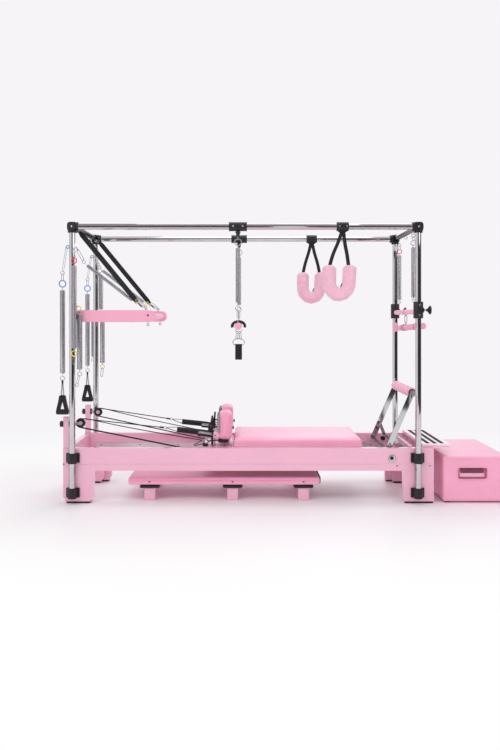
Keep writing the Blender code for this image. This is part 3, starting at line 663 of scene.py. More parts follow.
def rail_trim(side, s, half):
    """The softened upper edge of a rail, a pale cord under its groove that is a painted highlight, and the
    joint between each leg and the rail.
    """
    cable("rail_edge_" + side, [at(-half + 0.004, s * 0.3428, 0.3492),
                                at(half - 0.004, s * 0.3428, 0.3492)], 0.0024, "paint", "frame",
          smooth=False)
    cable("rail_edge_inner_" + side, [at(-half + 0.04, s * 0.2972, 0.3492),
                                      at(half - 0.04, s * 0.2972, 0.3492)], 0.0024, "paint", "frame",
          smooth=False)
    # A thin pale cord along the lower edge of the groove: a painted highlight for the light caught on that
    # edge.
    cable("rail_groove_painted_highlight_" + side, [at(-half + 0.004, s * 0.3448, 0.2484),
                                at(half - 0.004, s * 0.3448, 0.2484)], 0.0011, "platform", "frame",
          smooth=False)
    for where, end in ENDS.items():
        cable(f"rail_end_edge_{side}_{where}",
              [at(end * (half - 0.002), s * 0.343, 0.042), at(end * (half - 0.002), s * 0.343, 0.349)],
              0.0023, "paint", "frame", smooth=False)


def platform():
    """The softened edge and the grip strips of the standing platform."""
    finish_nodes("platform", "standing_platform")
    low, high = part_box("standing_platform")
    proud = 0.0015
    skirt = cushion_mesh(low - Vector((proud, proud, -0.0006)), high + Vector((proud, proud, -0.006)),
                         0.0065, counts=(10, 16, 4))
    mesh_piece("platform_edge", skirt, "paint", "frame")
    for count in range(3):
        x = 1.162 + 0.046 * count
        block(f"grip_strip_{count}", at(x - 0.013, -0.2895, 0.3712), at(x + 0.013, 0.2895, 0.3748), "grit",
              "frame", bevel=0.0008, segments=2)


def canopy():
    """Screws, lips, clamps, and dark discs of painted shade at the holes, on the tube frame."""
    for look, kinds in (("chrome", ("upright", "top_rail", "cross_tube")), ("black", ("elbow", "bracket"))):
        finish_nodes(look, *[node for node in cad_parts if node.startswith(kinds)])
    elbow_face = 0.0278
    for end, x, inward in (("head", HEAD_X, 1), ("foot", FOOT_X, -1)):
        for side, s in SIDES.items():
            y = s * UPRIGHT_Y
            corner = at(x, y, CANOPY_Z)
            for name, out in (("a", (0, s, 0)), ("b", (-inward, 0, 0)), ("c", (0, 0, 1))):
                screw(f"elbow_screw_{end}_{side}_{name}", corner + Vector(out) * elbow_face, out, 0.0065,
                      "steel", "frame", 0.0014)
            for name, shift in (("x", (inward * 0.034, 0, 0)), ("y", (0, -s * 0.034, 0)),
                                ("z", (0, 0, -0.034))):
                out = Vector(shift).normalized()
                start = corner + Vector(shift) - out * 0.004
                rod(f"elbow_lip_{end}_{side}_{name}", start, start + out * 0.009, 0.0288, "black", "frame",
                    bevel=0.002)
            for level, low in enumerate((0.04, 0.262)):
                for name, way in (("l", -1), ("r", 1)):
                    screw(f"bracket_screw_{end}_{side}_{level}_{name}",
                          at(x + way * 0.034, s * 0.3593, low + 0.03), (0, s, 0), 0.0055, "black", "frame",
                          0.002)
                cover = turned(f"clamp_{end}_{side}_{level}", at(x, y, low - 0.003), (0, 0, 1),
                               [(0.0, 0.0235), (0.0015, 0.0275), (0.006, 0.029), (0.06, 0.029),
                                (0.0645, 0.0275), (0.066, 0.0235)], "black", "frame")
                bore = add_rod(bmesh.new(), at(x, y, low - 0.02), at(x, y, low + 0.09), 0.0193, 36)
                cut_away(cover, bore)
            if end == "head":
                for count in range(13):
                    z = 0.46 + 0.0955 * count
                    # Each hole is a dark disc on the tube: painted shade for the hollow of the hole.
                    shape = add_rod(bmesh.new(), at(x - 0.0172, y, z), at(x - 0.0194, y, z), 0.0042, 16)
                    mesh_piece(f"upright_hole_shade_{side}_{count}", shape, "dark", "frame")
    for side, s in SIDES.items():
        for count in range(2):
            y = s * (0.262 + 0.06 * count)
            hoop(f"head_eye_{side}_{count}", at(-1.0975, y, 1.7405), (0, 1, 0), 0.0075, 0.0022, "frame")


def cut_away(piece, shape, angle=45):
    """Takes a shape out of a piece."""
    mesh = bpy.data.meshes.new("cutter")
    shape.to_mesh(mesh)
    shape.free()
    cutter = bpy.data.objects.new("cutter", mesh)
    bpy.context.collection.objects.link(cutter)
    cut = piece.modifiers.new("cut", "BOOLEAN")
    cut.operation = "DIFFERENCE"
    cut.solver = "EXACT"
    cut.object = cutter
    piece.data = bpy.data.meshes.new_from_object(piece.evaluated_get(bpy.context.evaluated_depsgraph_get()))
    piece.modifiers.remove(cut)
    bpy.data.objects.remove(cutter, do_unlink=True)
    piece.data.shade_smooth()
    piece.data.set_sharp_from_angle(angle=math.radians(angle))


def pulley_end():
    """The pulleys, and the knobs, washers, eyes and caps of their risers."""
    for side, s in SIDES.items():
        hub = at(PULLEY_X, s * PULLEY_Y, PULLEY_Z)
        body = "pulley_" + side
        profile = ((0.0056, 0.0108), (0.027, 0.0108), (0.029, 0.0095), (0.029, 0.008), (0.0255, 0.003),
                   (0.0255, -0.003), (0.029, -0.008), (0.029, -0.0095), (0.027, -0.0108),
                   (0.0056, -0.0108))
        mesh_piece("pulley_sheave_" + side, turned_ring(hub, 1, profile), "black", body, [body])
        for name, way in (("pulley_face_", -1), ("pulley_face_in_", 1)):
            rod(name + side, hub + Vector((0, way * 0.0112, 0)), hub + Vector((0, way * 0.0125, 0)),
                0.0135, "paint", body, sides=36)
        y = s * 0.325
        rod("riser_knob_" + side, at(-1.186, y, PULLEY_Z), at(-1.2095, y, PULLEY_Z), 0.0195, "black",
            "frame", bevel=0.004)
        rod("riser_knob_neck_" + side, at(-1.184, y, PULLEY_Z), at(-1.19, y, PULLEY_Z), 0.021, "black",
            "frame")
        rod("riser_washer_" + side, at(-1.149, y, PULLEY_Z), at(-1.139, y, PULLEY_Z), 0.0215, "black",
            "frame")
        hoop("riser_eye_" + side, at(-1.116, y - s * 0.01, PULLEY_Z), (0, 1, 0), 0.0125, 0.0032, "frame")
        rod("riser_shaft_sleeve_" + side, at(-1.139, y - s * 0.01, PULLEY_Z),
            at(-1.0765, y - s * 0.01, PULLEY_Z), 0.0076, "steel", "frame")
        rod("pulley_pin_cap_" + side, at(PULLEY_X, s * 0.2668, PULLEY_Z),
            at(PULLEY_X, s * 0.264, PULLEY_Z), 0.0078, "steel", "frame")
        block("riser_cap_" + side, at(-1.1862, y - 0.0172, 0.546), at(-1.1478, y + 0.0172, 0.5535), "paint",
              "frame", bevel=0.002)
        block("riser_foot_" + side, at(-1.185, y - 0.024, 0.3505), at(-1.149, y + 0.0165, 0.357), "paint",
              "frame", bevel=0.002)


# The carriage


def carriage():
    """The swollen pad, its piping and boards, the springs below and the fittings on top."""
    finish_nodes("black", "wheel_set_head", "wheel_set_foot")
    for count, y in enumerate((-0.1, -0.05, 0.0, 0.05, 0.1)):
        start, end = at(1.031, y, 0.222), at(0.381, y, 0.222)
        spring = wound(f"carriage_spring_{count}", start, end, 0.0092, 0.0013, None,
                       ["carriage_springs"] if count == 0 else (), hook=0.03, pitch=2.7)
        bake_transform(spring)
    low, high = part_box("carriage_pad")
    pad = cushion_mesh(low + Vector((0, 0, 0.002)), high - Vector((0, 0, 0.005)), 0.015, 0.004, 0.002,
                       (48, 36, 8))
    pad = mesh_piece("carriage_cushion", pad, "vinyl", "carriage", ["carriage_pad"], angle=60)
    inflate(pad, 0.006, 0.007, 0.012)
    seam("carriage_piping", low, high, low.z + 0.0065, 0.015, "vinyl", "carriage", 0.0003)
    block("carriage_board", low + Vector((0.004, 0.004, -0.01)),
          (high.x - 0.004, high.y - 0.004, low.z + 0.003), "black", "carriage")
    block("carriage_deck", at(-0.296, -0.258, 0.3385), at(-0.109, 0.258, 0.3445), "paint", "carriage")
    for side, s in SIDES.items():
        shoulder_rest(side, s)
    carriage_fittings()


def inflate(piece, voxel, cap, held_below):
    """Puffs a padded piece out with cloth under pressure. No point moves further than the cap, and the
    underside, where it rests on its board, stays put."""
    remesh = piece.modifiers.new("remesh", "REMESH")
    remesh.mode = "VOXEL"
    remesh.voxel_size = voxel
    piece.data = bpy.data.meshes.new_from_object(piece.evaluated_get(bpy.context.evaluated_depsgraph_get()))
    piece.modifiers.remove(remesh)
    start = [vert.co.copy() for vert in piece.data.vertices]
    floor = min(point.z for point in start)
    held = piece.vertex_groups.new(name="held")
    held.add([i for i, point in enumerate(start) if point.z < floor + held_below], 1.0, "REPLACE")
    cloth = piece.modifiers.new("cloth", "CLOTH")
    cloth.settings.use_pressure = True
    cloth.settings.uniform_pressure_force = 4.0
    cloth.settings.effector_weights.gravity = 0
    cloth.settings.vertex_group_mass = "held"
    scene = bpy.context.scene
    for step in range(1, 21):
        scene.frame_set(step)
    graph = bpy.context.evaluated_depsgraph_get()
    moved = [vert.co.copy() for vert in piece.evaluated_get(graph).data.vertices]
    piece.modifiers.remove(cloth)
    scene.frame_set(1)
    for vert, old, new in zip(piece.data.vertices, start, moved):
        shift = new - old
        if shift.length > cap:
            shift = shift.normalized() * cap
        vert.co = old + shift
    finer = piece.modifiers.new("finer", "SUBSURF")
    finer.levels = finer.render_levels = 1
    piece.data = bpy.data.meshes.new_from_object(piece.evaluated_get(bpy.context.evaluated_depsgraph_get()))
    piece.modifiers.remove(finer)
    piece.vertex_groups.clear()
    piece.data.shade_smooth()


def shoulder_rest(side, s):
    """A padded shoulder rest on its plate, lug, base and posts."""
    y0, y1 = sorted((s * 0.09, s * 0.25))
    name = "shoulder_rest_" + side
    body = "carriage"
    rest = cushion_mesh(at(-0.194, y0, 0.389), at(-0.11, y1, 0.5715), 0.024, 0.001, 0.001, (16, 20, 24))
    rest = mesh_piece("shoulder_cushion_" + side, rest, "rest", body, [name], angle=60)
    inflate(rest, 0.005, 0.004, 0.002)
    shape = add_box(bmesh.new(), at(-0.205, y0 + 0.006, 0.44), at(-0.1865, y1 - 0.006, 0.556))
    mesh_piece("shoulder_plate_" + side, shape, "plate", body, bevel=0.003)
    lug = cushion_mesh(at(-0.232, y0 + 0.018, 0.392), at(-0.176, y1 - 0.018, 0.44), 0.015,
                       counts=(10, 14, 10))
    mesh_piece("shoulder_lug_" + side, lug, "paint", body)
    for way, y, out in (("out", y0 + 0.018, -1), ("in", y1 - 0.018, 1)):
        screw(f"lug_screw_{side}_{way}", at(-0.218, y, 0.416), (0, out, 0), 0.0048, "dark", body, 0.001)
    block("shoulder_base_" + side, at(-0.198, y0 + 0.01, 0.37), at(-0.13, y1 - 0.01, 0.3895), "black",
          body, bevel=0.004)
    mid = (y0 + y1) / 2
    for tag, way in WAYS.items():
        y = mid + way * 0.045
        rod(f"shoulder_post_{side}_{tag}", at(-0.166, y, 0.344), at(-0.166, y, 0.373), 0.013, "steel", body)
    rod("shoulder_knob_stem_" + side, at(-0.118, y0 + 0.05, 0.4635), at(-0.0985, y0 + 0.05, 0.4635), 0.005,
        "steel", body)
    rod("shoulder_knob_" + side, at(-0.1045, y0 + 0.05, 0.4635), at(-0.0955, y0 + 0.05, 0.4635), 0.0115,
        "black", body, bevel=0.003)
    for count in range(2):
        screw(f"shoulder_plate_screw_{side}_{count}", at(-0.205, mid, 0.465 + 0.065 * count), (-1, 0, 0),
              0.007, "steel", body)


# Black rods at each rope post: name, (x, z) of both ends, radius and bevel
POST_RODS = (("rope_post_", (-0.24, 0.344), (-0.24, 0.486), 0.007, 0.002),
             ("rope_post_tip_", (-0.239, 0.47), (-0.2355, 0.522), 0.0062, 0.002),
             ("rope_horn_", (-0.262, 0.446), (-0.254, 0.496), 0.0066, 0.003))

# Level rods from each rope post to its shoulder rest: name, x, z, radius and look
STAY_RODS = (("rope_arm_", -0.24, 0.4655, 0.0055, "black"),
             ("rope_stay_", -0.24, 0.4475, 0.005, "paint"),
             ("rope_stay_low_", -0.25, 0.43, 0.0058, "black"))


def carriage_fittings():
    """Rope posts, rings and clamping cleats at the head side of the carriage."""
    for side, s in SIDES.items():
        y = s * 0.17
        for name, start, end, radius, bevel in POST_RODS:
            rod(name + side, at(start[0], y, start[1]), at(end[0], y, end[1]), radius, "black", "carriage",
                bevel=bevel)
        block("rope_bridge_" + side, at(-0.266, y - 0.009, 0.424), at(-0.232, y + 0.009, 0.462), "black",
              "carriage", bevel=0.005)
        for name, x, z, radius, look in STAY_RODS:
            rod(name + side, at(x, y, z), at(-0.205, y, z), radius, look, "carriage")
        block("cleat_base_" + side, at(-0.302, s * 0.205 - 0.02, 0.3445),
              at(-0.264, s * 0.205 + 0.02, 0.358), "black", "carriage", bevel=0.004)
        hoop("rope_ring_" + side, at(-0.28, s * 0.204, 0.3735), (0, 1, 0.2), 0.0145, 0.004, "carriage")
        ribbon("ring_strap_" + side, [at(-0.266, s * 0.204, 0.374), at(-0.235, s * 0.198, 0.379),
                                      at(-0.196, s * 0.19, 0.38)], 0.02, 0.006, "webbing", "carriage")
        screw(f"cleat_screw_{side}", at(-0.27, s * 0.205, 0.358), (0, 0, 1), 0.0055, "steel", "carriage")


def ropes():
    """Each rope comes up from its cleat, goes round its pulley and ends in a hand loop on the carriage."""
    reach, travel = 0.029, 0.7
    for side, s in SIDES.items():
        arc = []
        for step in range(13):
            angle = math.radians(276 - step * 192 / 12)
            arc.append(at(PULLEY_X + reach * math.cos(angle), s * PULLEY_Y,
                          PULLEY_Z + reach * math.sin(angle)))
        cable("rope_turn_" + side, arc, 0.0034, "rope", "frame", ["rope_" + side])
        end = at(-0.303, s * 0.25, 0.314)
        start = arc[0] + Vector((-0.002, 0, 0))
        thick = 0.005 if side == "front" else 0.004
        lower = [start] + [start.lerp(end, part) for part in (0.25, 0.5, 0.75)] + [end]
        taut = cable("rope_low_" + side, lower, thick, "rope", "frame", mesh=True)
        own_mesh(taut)
        rod("rope_plug_" + side, end + Vector((-0.01, 0, 0.002)), end + Vector((0.004, 0, 0)), 0.0075,
            "black", "carriage", bevel=0.002)
        cleat = at(-0.306, s * 0.203, 0.381)
        over = at(-1.047, s * 0.2795, 0.5315)
        cable("rope_lead_" + side, [arc[-1], over], 0.003, "rope", "frame")
        route = [over, over.lerp(cleat, 0.33) + Vector((0, 0, -0.006)),
                 over.lerp(cleat, 0.66) + Vector((0, 0, -0.005)), cleat]
        spare = cable("rope_spare_" + side, route, 0.003, "rope", "frame", mesh=True)
        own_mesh(spare)
        clip = at(-0.582, s * 0.218, 0.4685)
        upper = [arc[-1], arc[-1].lerp(clip, 0.33), arc[-1].lerp(clip, 0.67), clip]
        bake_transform(cable("rope_high_" + side, upper, 0.0032, "rope", None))
        tail = [cleat, at(-0.334, s * 0.206, 0.362), at(-0.356, s * 0.208, 0.349),
                at(-0.33, s * 0.207, 0.3505), at(-0.285, s * 0.203, 0.362)]
        cable("rope_tail_" + side, tail, 0.0028, "rope", "carriage")
        hand_loop(side, s)


def hand_loop(side, s):
    """A foot-or-hand strap laid over the carriage: a clip, a V of pale webbing, a fat grip and its tail."""
    y = s * 0.192
    rod("rope_clip_" + side, at(-0.584, s * 0.218, 0.4686), at(-0.556, s * 0.212, 0.4655), 0.0058, "black",
        "carriage", bevel=0.0015)
    hoop("rope_clip_ring_" + side, at(-0.5485, s * 0.21, 0.4645), (0, 1, 0), 0.0085, 0.0019, "carriage")
    left, right = at(-0.4706, y, 0.449), at(-0.33, y, 0.4345)
    for way, lift in (("up", 0.0145), ("down", -0.0145)):
        route = [at(-0.542, s * 0.209, 0.464 + lift * 0.1), at(-0.505, y, 0.457 + lift * 0.6),
                 left + Vector((0.004, 0, lift))]
        ribbon(f"hand_strap_{side}_{way}", route, 0.026, 0.0026, "strap_grey", "carriage")
    length = (right - left).length
    grip = turned("hand_grip_" + side, left, right - left,
                  [(0.0, 0.015), (0.0012, 0.0176), (0.004, 0.0186), (length - 0.004, 0.0186),
                   (length - 0.0012, 0.0176), (length, 0.015)], "webbing", "carriage")
    for name, look, rise, drop, tall in (("high", "webbing", 0.013, 0.01, 0.012),
                                         ("middle", "strap_grey", 0.001, -0.0045, 0.019),
                                         ("low", "webbing", -0.0185, -0.019, 0.015)):
        route = [right + Vector((-0.004, 0, rise)), at(-0.285, y, 0.43 + (rise + drop) / 2),
                 at(-0.232, y - s * 0.008, 0.421 + drop)]
        ribbon(f"hand_band_{side}_{name}", route, tall, 0.0026, look, "carriage", across=(0, 0.45, 0.9))
    rod("hand_band_pin_" + side, at(-0.232, y - s * 0.022, 0.421), at(-0.232, y + s * 0.006, 0.421), 0.0095,
        "black", "carriage", bevel=0.002)


# The footbar and its surroundings


def footbar():
    """The foam roller and the pins, caps and brackets of the footbar, and the knobs of the spring bar."""
    finish_nodes("chrome", "footbar")
    finish_nodes("steel", "footbar_strut")
    top = at(1.062, 0, 0.7)
    shape = bmesh.new()
    steps, rows = 40, []
    profile = [(-0.267, 0.0117), (-0.2674, 0.026), (-0.2655, 0.0305), (-0.26, 0.0322)]
    middle = [step * 0.02 for step in range(-12, 13)]
    outline = profile + [(y, 0.0322 + 0.0003 * math.sin(y * 90)) for y in middle]
    outline += [(-y, r) for y, r in reversed(profile)]
    for y, r in outline:
        rows.append([shape.verts.new(top + Vector((r * math.cos(a), y, r * math.sin(a))))
                     for a in (2 * math.pi * step / steps for step in range(steps))])
    skin(shape, rows, closed=True)
    roller = mesh_piece("footbar_roller", shape, "foam", "footbar", ["footbar_foam"], angle=50)
    for side, s in SIDES.items():
        rod("footbar_cap_" + side, top + Vector((0, s * 0.2765, 0)), top + Vector((0, s * 0.2845, 0)),
            0.0175, "steel", "footbar", bevel=0.003)
        rod("footbar_collar_" + side, top + Vector((0, s * 0.2672, 0)), top + Vector((0, s * 0.269, 0)),
            0.0235, "black", "footbar")
        screw("footbar_pivot_" + side, at(0.9, s * 0.262, 0.325), (0, -s, 0), 0.0125, "steel", "footbar",
              0.006)
        screw("footbar_joint_" + side, at(0.918, s * 0.276, 0.366), (0, s, 0), 0.009, "steel", "footbar",
              0.004)
        rod("strut_boss_" + side, at(0.945, s * 0.2385, 0.429), at(0.945, s * 0.2335, 0.429), 0.01,
            "steel", "strut")
        block("fold_bracket_" + side, at(0.86, s * 0.2915 - 0.0028, 0.296),
              at(0.955, s * 0.2915 + 0.0028, 0.3485), "paint", "frame", bevel=0.002)
        rod("strut_knob_" + side, at(0.966, s * 0.262, 0.322), at(0.966, s * 0.236, 0.322), 0.0165,
            "black", "frame", bevel=0.004)
    for count, y in enumerate((-0.24, -0.12, 0.0, 0.12, 0.24)):
        knob_y = y * 0.8
        rod(f"spring_knob_stem_{count}", at(1.0325, knob_y, 0.345), at(1.016, knob_y, 0.345), 0.004,
            "steel", "frame")
        rod(f"spring_knob_{count}", at(1.017, knob_y, 0.345), at(1.004, knob_y, 0.345), 0.01, "chrome",
            "frame", bevel=0.003)
        hoop(f"spring_hook_{count}", at(1.047, y, 0.3715), (0, 1, 0), 0.0085, 0.0024, "frame")


# What hangs on the canopy


def push_bar():
    """The push-through bar's softened arms and cross bar, with screws, eyebolts and a snap hook."""
    body = "push_bar"
    pivot_x, tip_x, z, height = -1.075, -0.632, 1.197, 0.076
    for side, s in SIDES.items():
        y0, y1 = sorted((s * 0.3255, s * 0.3445))
        outline = []
        for x, first in ((tip_x, -90), (pivot_x, 90)):
            for step in range(17):
                angle = math.radians(first + 180 * step / 16)
                outline.append((x + height / 2 * math.cos(angle), z + height / 2 * math.sin(angle)))
        replaced = ["push_bar"] if side == "front" else []
        mesh_piece("push_arm_" + side, slab(outline, y0, y1), "arm", body, replaced, bevel=0.0035,
                   segments=3)
        for way, y in (("in", -s), ("out", s)):
            face = s * ARM_Y + y * 0.0095
            screw(f"arm_screw_{side}_{way}", at(-0.643, face, z + 0.005), (0, y, 0), 0.0062, "dark", body)
            screw(f"arm_pivot_screw_{side}_{way}", at(pivot_x, face, z), (0, y, 0), 0.01, "steel", body)
        for name, x, up in (("low", -0.644, -1), ("top", -0.66, 1)):
            eye = at(x, s * ARM_Y, z + up * (height / 2 + 0.012))
            rod(f"eyebolt_stem_{side}_{name}", at(x, s * ARM_Y, z + up * height / 2), eye, 0.0028,
                "steel", body)
            hoop(f"eyebolt_{side}_{name}", eye + Vector((0, 0, up * 0.006)), (0, 1, 0), 0.0075, 0.0024,
                 body)
        long_ring("snap_hook_" + side, at(-0.668, s * ARM_Y, 1.264), at(-0.722, s * 0.33, 1.3), 0.013,
                  0.002, body)
        rod(f"arm_bush_{side}", at(-1.1, s * 0.3465, z), at(-1.1, s * 0.353, z), 0.014, "steel", "frame")
    grip = add_rod(bmesh.new(), at(tip_x, -0.3255, z), at(tip_x, 0.3255, z), 0.0192, 36)
    mesh_piece("push_cross_bar", grip, "foam", body, bevel=0.002)


def push_bar_hangers():
    """The safety straps and the diagonal springs that run from the frame to the push-through bar."""
    for side, s in SIDES.items():
        y = s * 0.325
        top, low = at(-1.085, y, 1.738), at(-0.715, y, 1.287)
        flat = Vector((0.77, 0, 0.64))
        over = [at(-1.15, y, 1.742), at(-1.156, y, 1.768), at(-1.138, y, 1.79), at(-1.112, y, 1.79),
                at(-1.092, y, 1.77), at(-1.086, y, 1.74)]
        ribbon("strap_turn_" + side, over, 0.026, 0.0025, "webbing", "frame")
        ribbon("strap_end_" + side, [at(-1.148, y, 1.744), at(-1.118, y, 1.742), at(-1.082, y, 1.733)],
               0.022, 0.0024, "webbing", "frame")
        band = ribbon("safety_strap_" + side, [top, top.lerp(low, 0.3), top.lerp(low, 0.7), low], 0.033,
                      0.0036, "webbing", None, ["strap_" + side], across=flat, ends=0.45)
        link = ribbon("strap_link_" + side, [low + Vector((-0.01, 0, 0.012)), at(-0.684, y, 1.2545)],
                      0.008, 0.003, "webbing", None, across=flat)
        for piece in (band, link):
            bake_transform(piece)
        y = s * 0.262
        first, last = at(-1.058, y, 1.534), at(-0.745, y, 1.293)
        tip = at(-0.65, s * 0.322, 1.243)
        spring = wound("push_spring_" + side, first, last, 0.01, 0.0016, None, ["diagonal_spring_" + side])
        tag = hoop("push_spring_tag_" + side, at(-0.728, y, 1.288), (0.2, 1, 0.1), 0.012, 0.0026, None,
                   "yellow")
        low_tag = hoop("push_spring_tag_low_" + side, at(-0.708, y + s * 0.01, 1.279), (1, 0.4, 0), 0.01,
                       0.0022, None, "yellow")
        tail = long_ring("push_spring_tail_" + side, at(-0.716, y + s * 0.004, 1.284), tip, 0.012, 0.002,
                         None)
        for piece in (spring, tag, low_tag, tail):
            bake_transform(piece)
        hoop("push_spring_ring_" + side, at(-1.07, y, 1.549), (0, 1, 0), 0.0105, 0.0021, "frame")
        long_ring("push_spring_hook_" + side, at(-1.112, y, 1.628), at(-1.075, y, 1.56), 0.016, 0.0023,
                  "frame")
        cable("push_spring_loop_" + side, [at(-1.105, s * 0.36, 1.64), at(-1.104, s * 0.3, 1.63),
                                           at(-1.11, s * 0.262, 1.623)], 0.003, "steel", "frame")


def handle_springs():
    """The spring, rings, swivel, strap and hand loop that hang at each head upright."""
    x = -1.182
    for side, s in SIDES.items():
        y = s * UPRIGHT_Y
        body = "handle_" + side
        wound("handle_coil_" + side, at(x, y, 1.38), at(x, y, 0.814), 0.015, 0.0018, body,
              ["handle_spring_" + side], hook=0.018)
        hoop("handle_top_ring_" + side, at(x, y, 1.47), (0, 1, 0.15), 0.0115, 0.0022, body)
        long_ring("handle_top_link_" + side, at(x, y, 1.466), at(x, y, 1.42), 0.012, 0.0018, body)
        hoop("handle_ring_" + side, at(x, y, 1.402), (0, 1, 0.1), 0.021, 0.0036, body, "blue")
        hoop("handle_low_ring_" + side, at(x, y, 0.801), (0, 1, 0), 0.0135, 0.0024, body)
        rod("handle_swivel_" + side, at(x, y, 0.79), at(x, y, 0.768), 0.0062, "black", body, bevel=0.002)
        hoop("upright_eye_" + side, at(-1.15, y, 1.636), (0, 1, 0), 0.0095, 0.0026, "frame", "blue")
        screw("upright_eye_screw_" + side, at(-1.139, y, 1.636), (-1, 0, 0), 0.006, "steel", "frame")
        long_ring("handle_hook_" + side, at(-1.156, y, 1.636), at(x + 0.002, y, 1.48), 0.01, 0.0014,
                  "frame")
        for letter, way in WAYS.items():
            tag = f"{side}_{letter}"
            ribbon("handle_strap_" + tag, [at(x + way * 0.001, y, 0.772), at(x + way * 0.0055, y, 0.73),
                                           at(x + way * 0.0085, y, 0.68)], 0.009, 0.0026, "strap_grey",
                   body, across=(1, 0, 0))
            leg = [at(x + way * 0.007, y, 0.692), at(x + way * 0.013, y, 0.655),
                   at(x + way * 0.0285, y, 0.592)]
            ribbon("handle_leg_" + tag, leg, 0.025, 0.024, "webbing", body, across=(1, 0, 0))
        rod("handle_knot_" + side, at(x, y, 0.694), at(x, y, 0.668), 0.0105, "webbing", body, bevel=0.003,
            end_radius=0.014)
        grip = turned("handle_grip_" + side, at(x - 0.0395, y, 0.588), (1, 0, 0),
                      [(0.0, 0.011), (0.0015, 0.015), (0.006, 0.0172), (0.04, 0.0178), (0.073, 0.0172),
                       (0.0775, 0.015), (0.079, 0.011)], "webbing", body)


def spare_springs():
    """The spare springs that hang at the head uprights, with their coloured rings."""
    def hang(name, x, y, parts):
        wound(name, at(x, y, parts[0]), at(x, y, parts[1]), parts[2], 0.0016, "frame", hook=0.014)

    y = -0.408
    hang("spare_spring_a", -1.1, y, (1.528, 0.978, 0.0148))
    hoop("spare_ring_a_top", at(-1.1, y, 1.547), (0.3, 1, 0), 0.018, 0.0034, "frame", "red")
    long_ring("spare_hook_a", at(-1.104, -0.396, 1.628), at(-1.1, y, 1.566), 0.014, 0.002, "frame")
    hoop("spare_ring_a_low", at(-1.1, y, 0.96), (0.2, 1, 0), 0.0175, 0.0034, "frame", "yellow")
    long_ring("spare_link_a", at(-1.1, y, 0.946), at(-1.101, y, 0.892), 0.013, 0.002, "frame")
    y = -0.372
    hang("spare_spring_b", -1.073, y, (1.222, 0.842, 0.016))
    hoop("spare_ring_b_top", at(-1.08, y, 1.245), (0.1, 1, 0), 0.015, 0.003, "frame", "yellow")
    hoop("spare_ring_b_low", at(-1.073, y, 0.828), (0, 1, 0), 0.013, 0.0024, "frame")
    long_ring("spare_link_b", at(-1.075, y, 0.82), at(-1.088, y, 0.768), 0.011, 0.0018, "frame")
    hoop("spare_end_b", at(-1.09, y, 0.757), (0, 1, 0), 0.0095, 0.002, "frame")
    cable("spare_hanger_b", [at(-1.1, y, 1.268), at(-1.092, y, 1.262), at(-1.084, y, 1.256)], 0.0026,
          "steel", "frame")
    hang("spare_spring_c", -1.149, 0.408, (1.178, 0.884, 0.0118))
    long_ring("spare_hook_c", at(-1.136, 0.396, 1.226), at(-1.149, 0.408, 1.174), 0.011, 0.0019, "frame")
    hoop("spare_ring_c", at(-1.149, 0.408, 0.876), (0, 1, 0), 0.0105, 0.002, "frame")
    y = 0.372
    hang("spare_spring_d", -1.082, y, (1.508, 1.234, 0.014))
    hoop("spare_ring_d", at(-1.092, y, 1.532), (0, 1, 0), 0.015, 0.0028, "frame")
    long_ring("spare_hook_d", at(-1.101, y, 1.59), at(-1.094, y, 1.545), 0.012, 0.0019, "frame")
    long_ring("spare_link_d", at(-1.082, y, 1.238), at(-1.073, y, 1.166), 0.012, 0.0019, "frame")
    hang("spare_spring_e", -1.072, y, (1.17, 0.84, 0.0165))
    hoop("spare_ring_e", at(-1.072, y, 0.828), (0.2, 1, 0), 0.015, 0.0028, "frame", "yellow")
    long_ring("spare_link_e", at(-1.072, y, 0.82), at(-1.078, y, 0.752), 0.015, 0.0022, "frame")


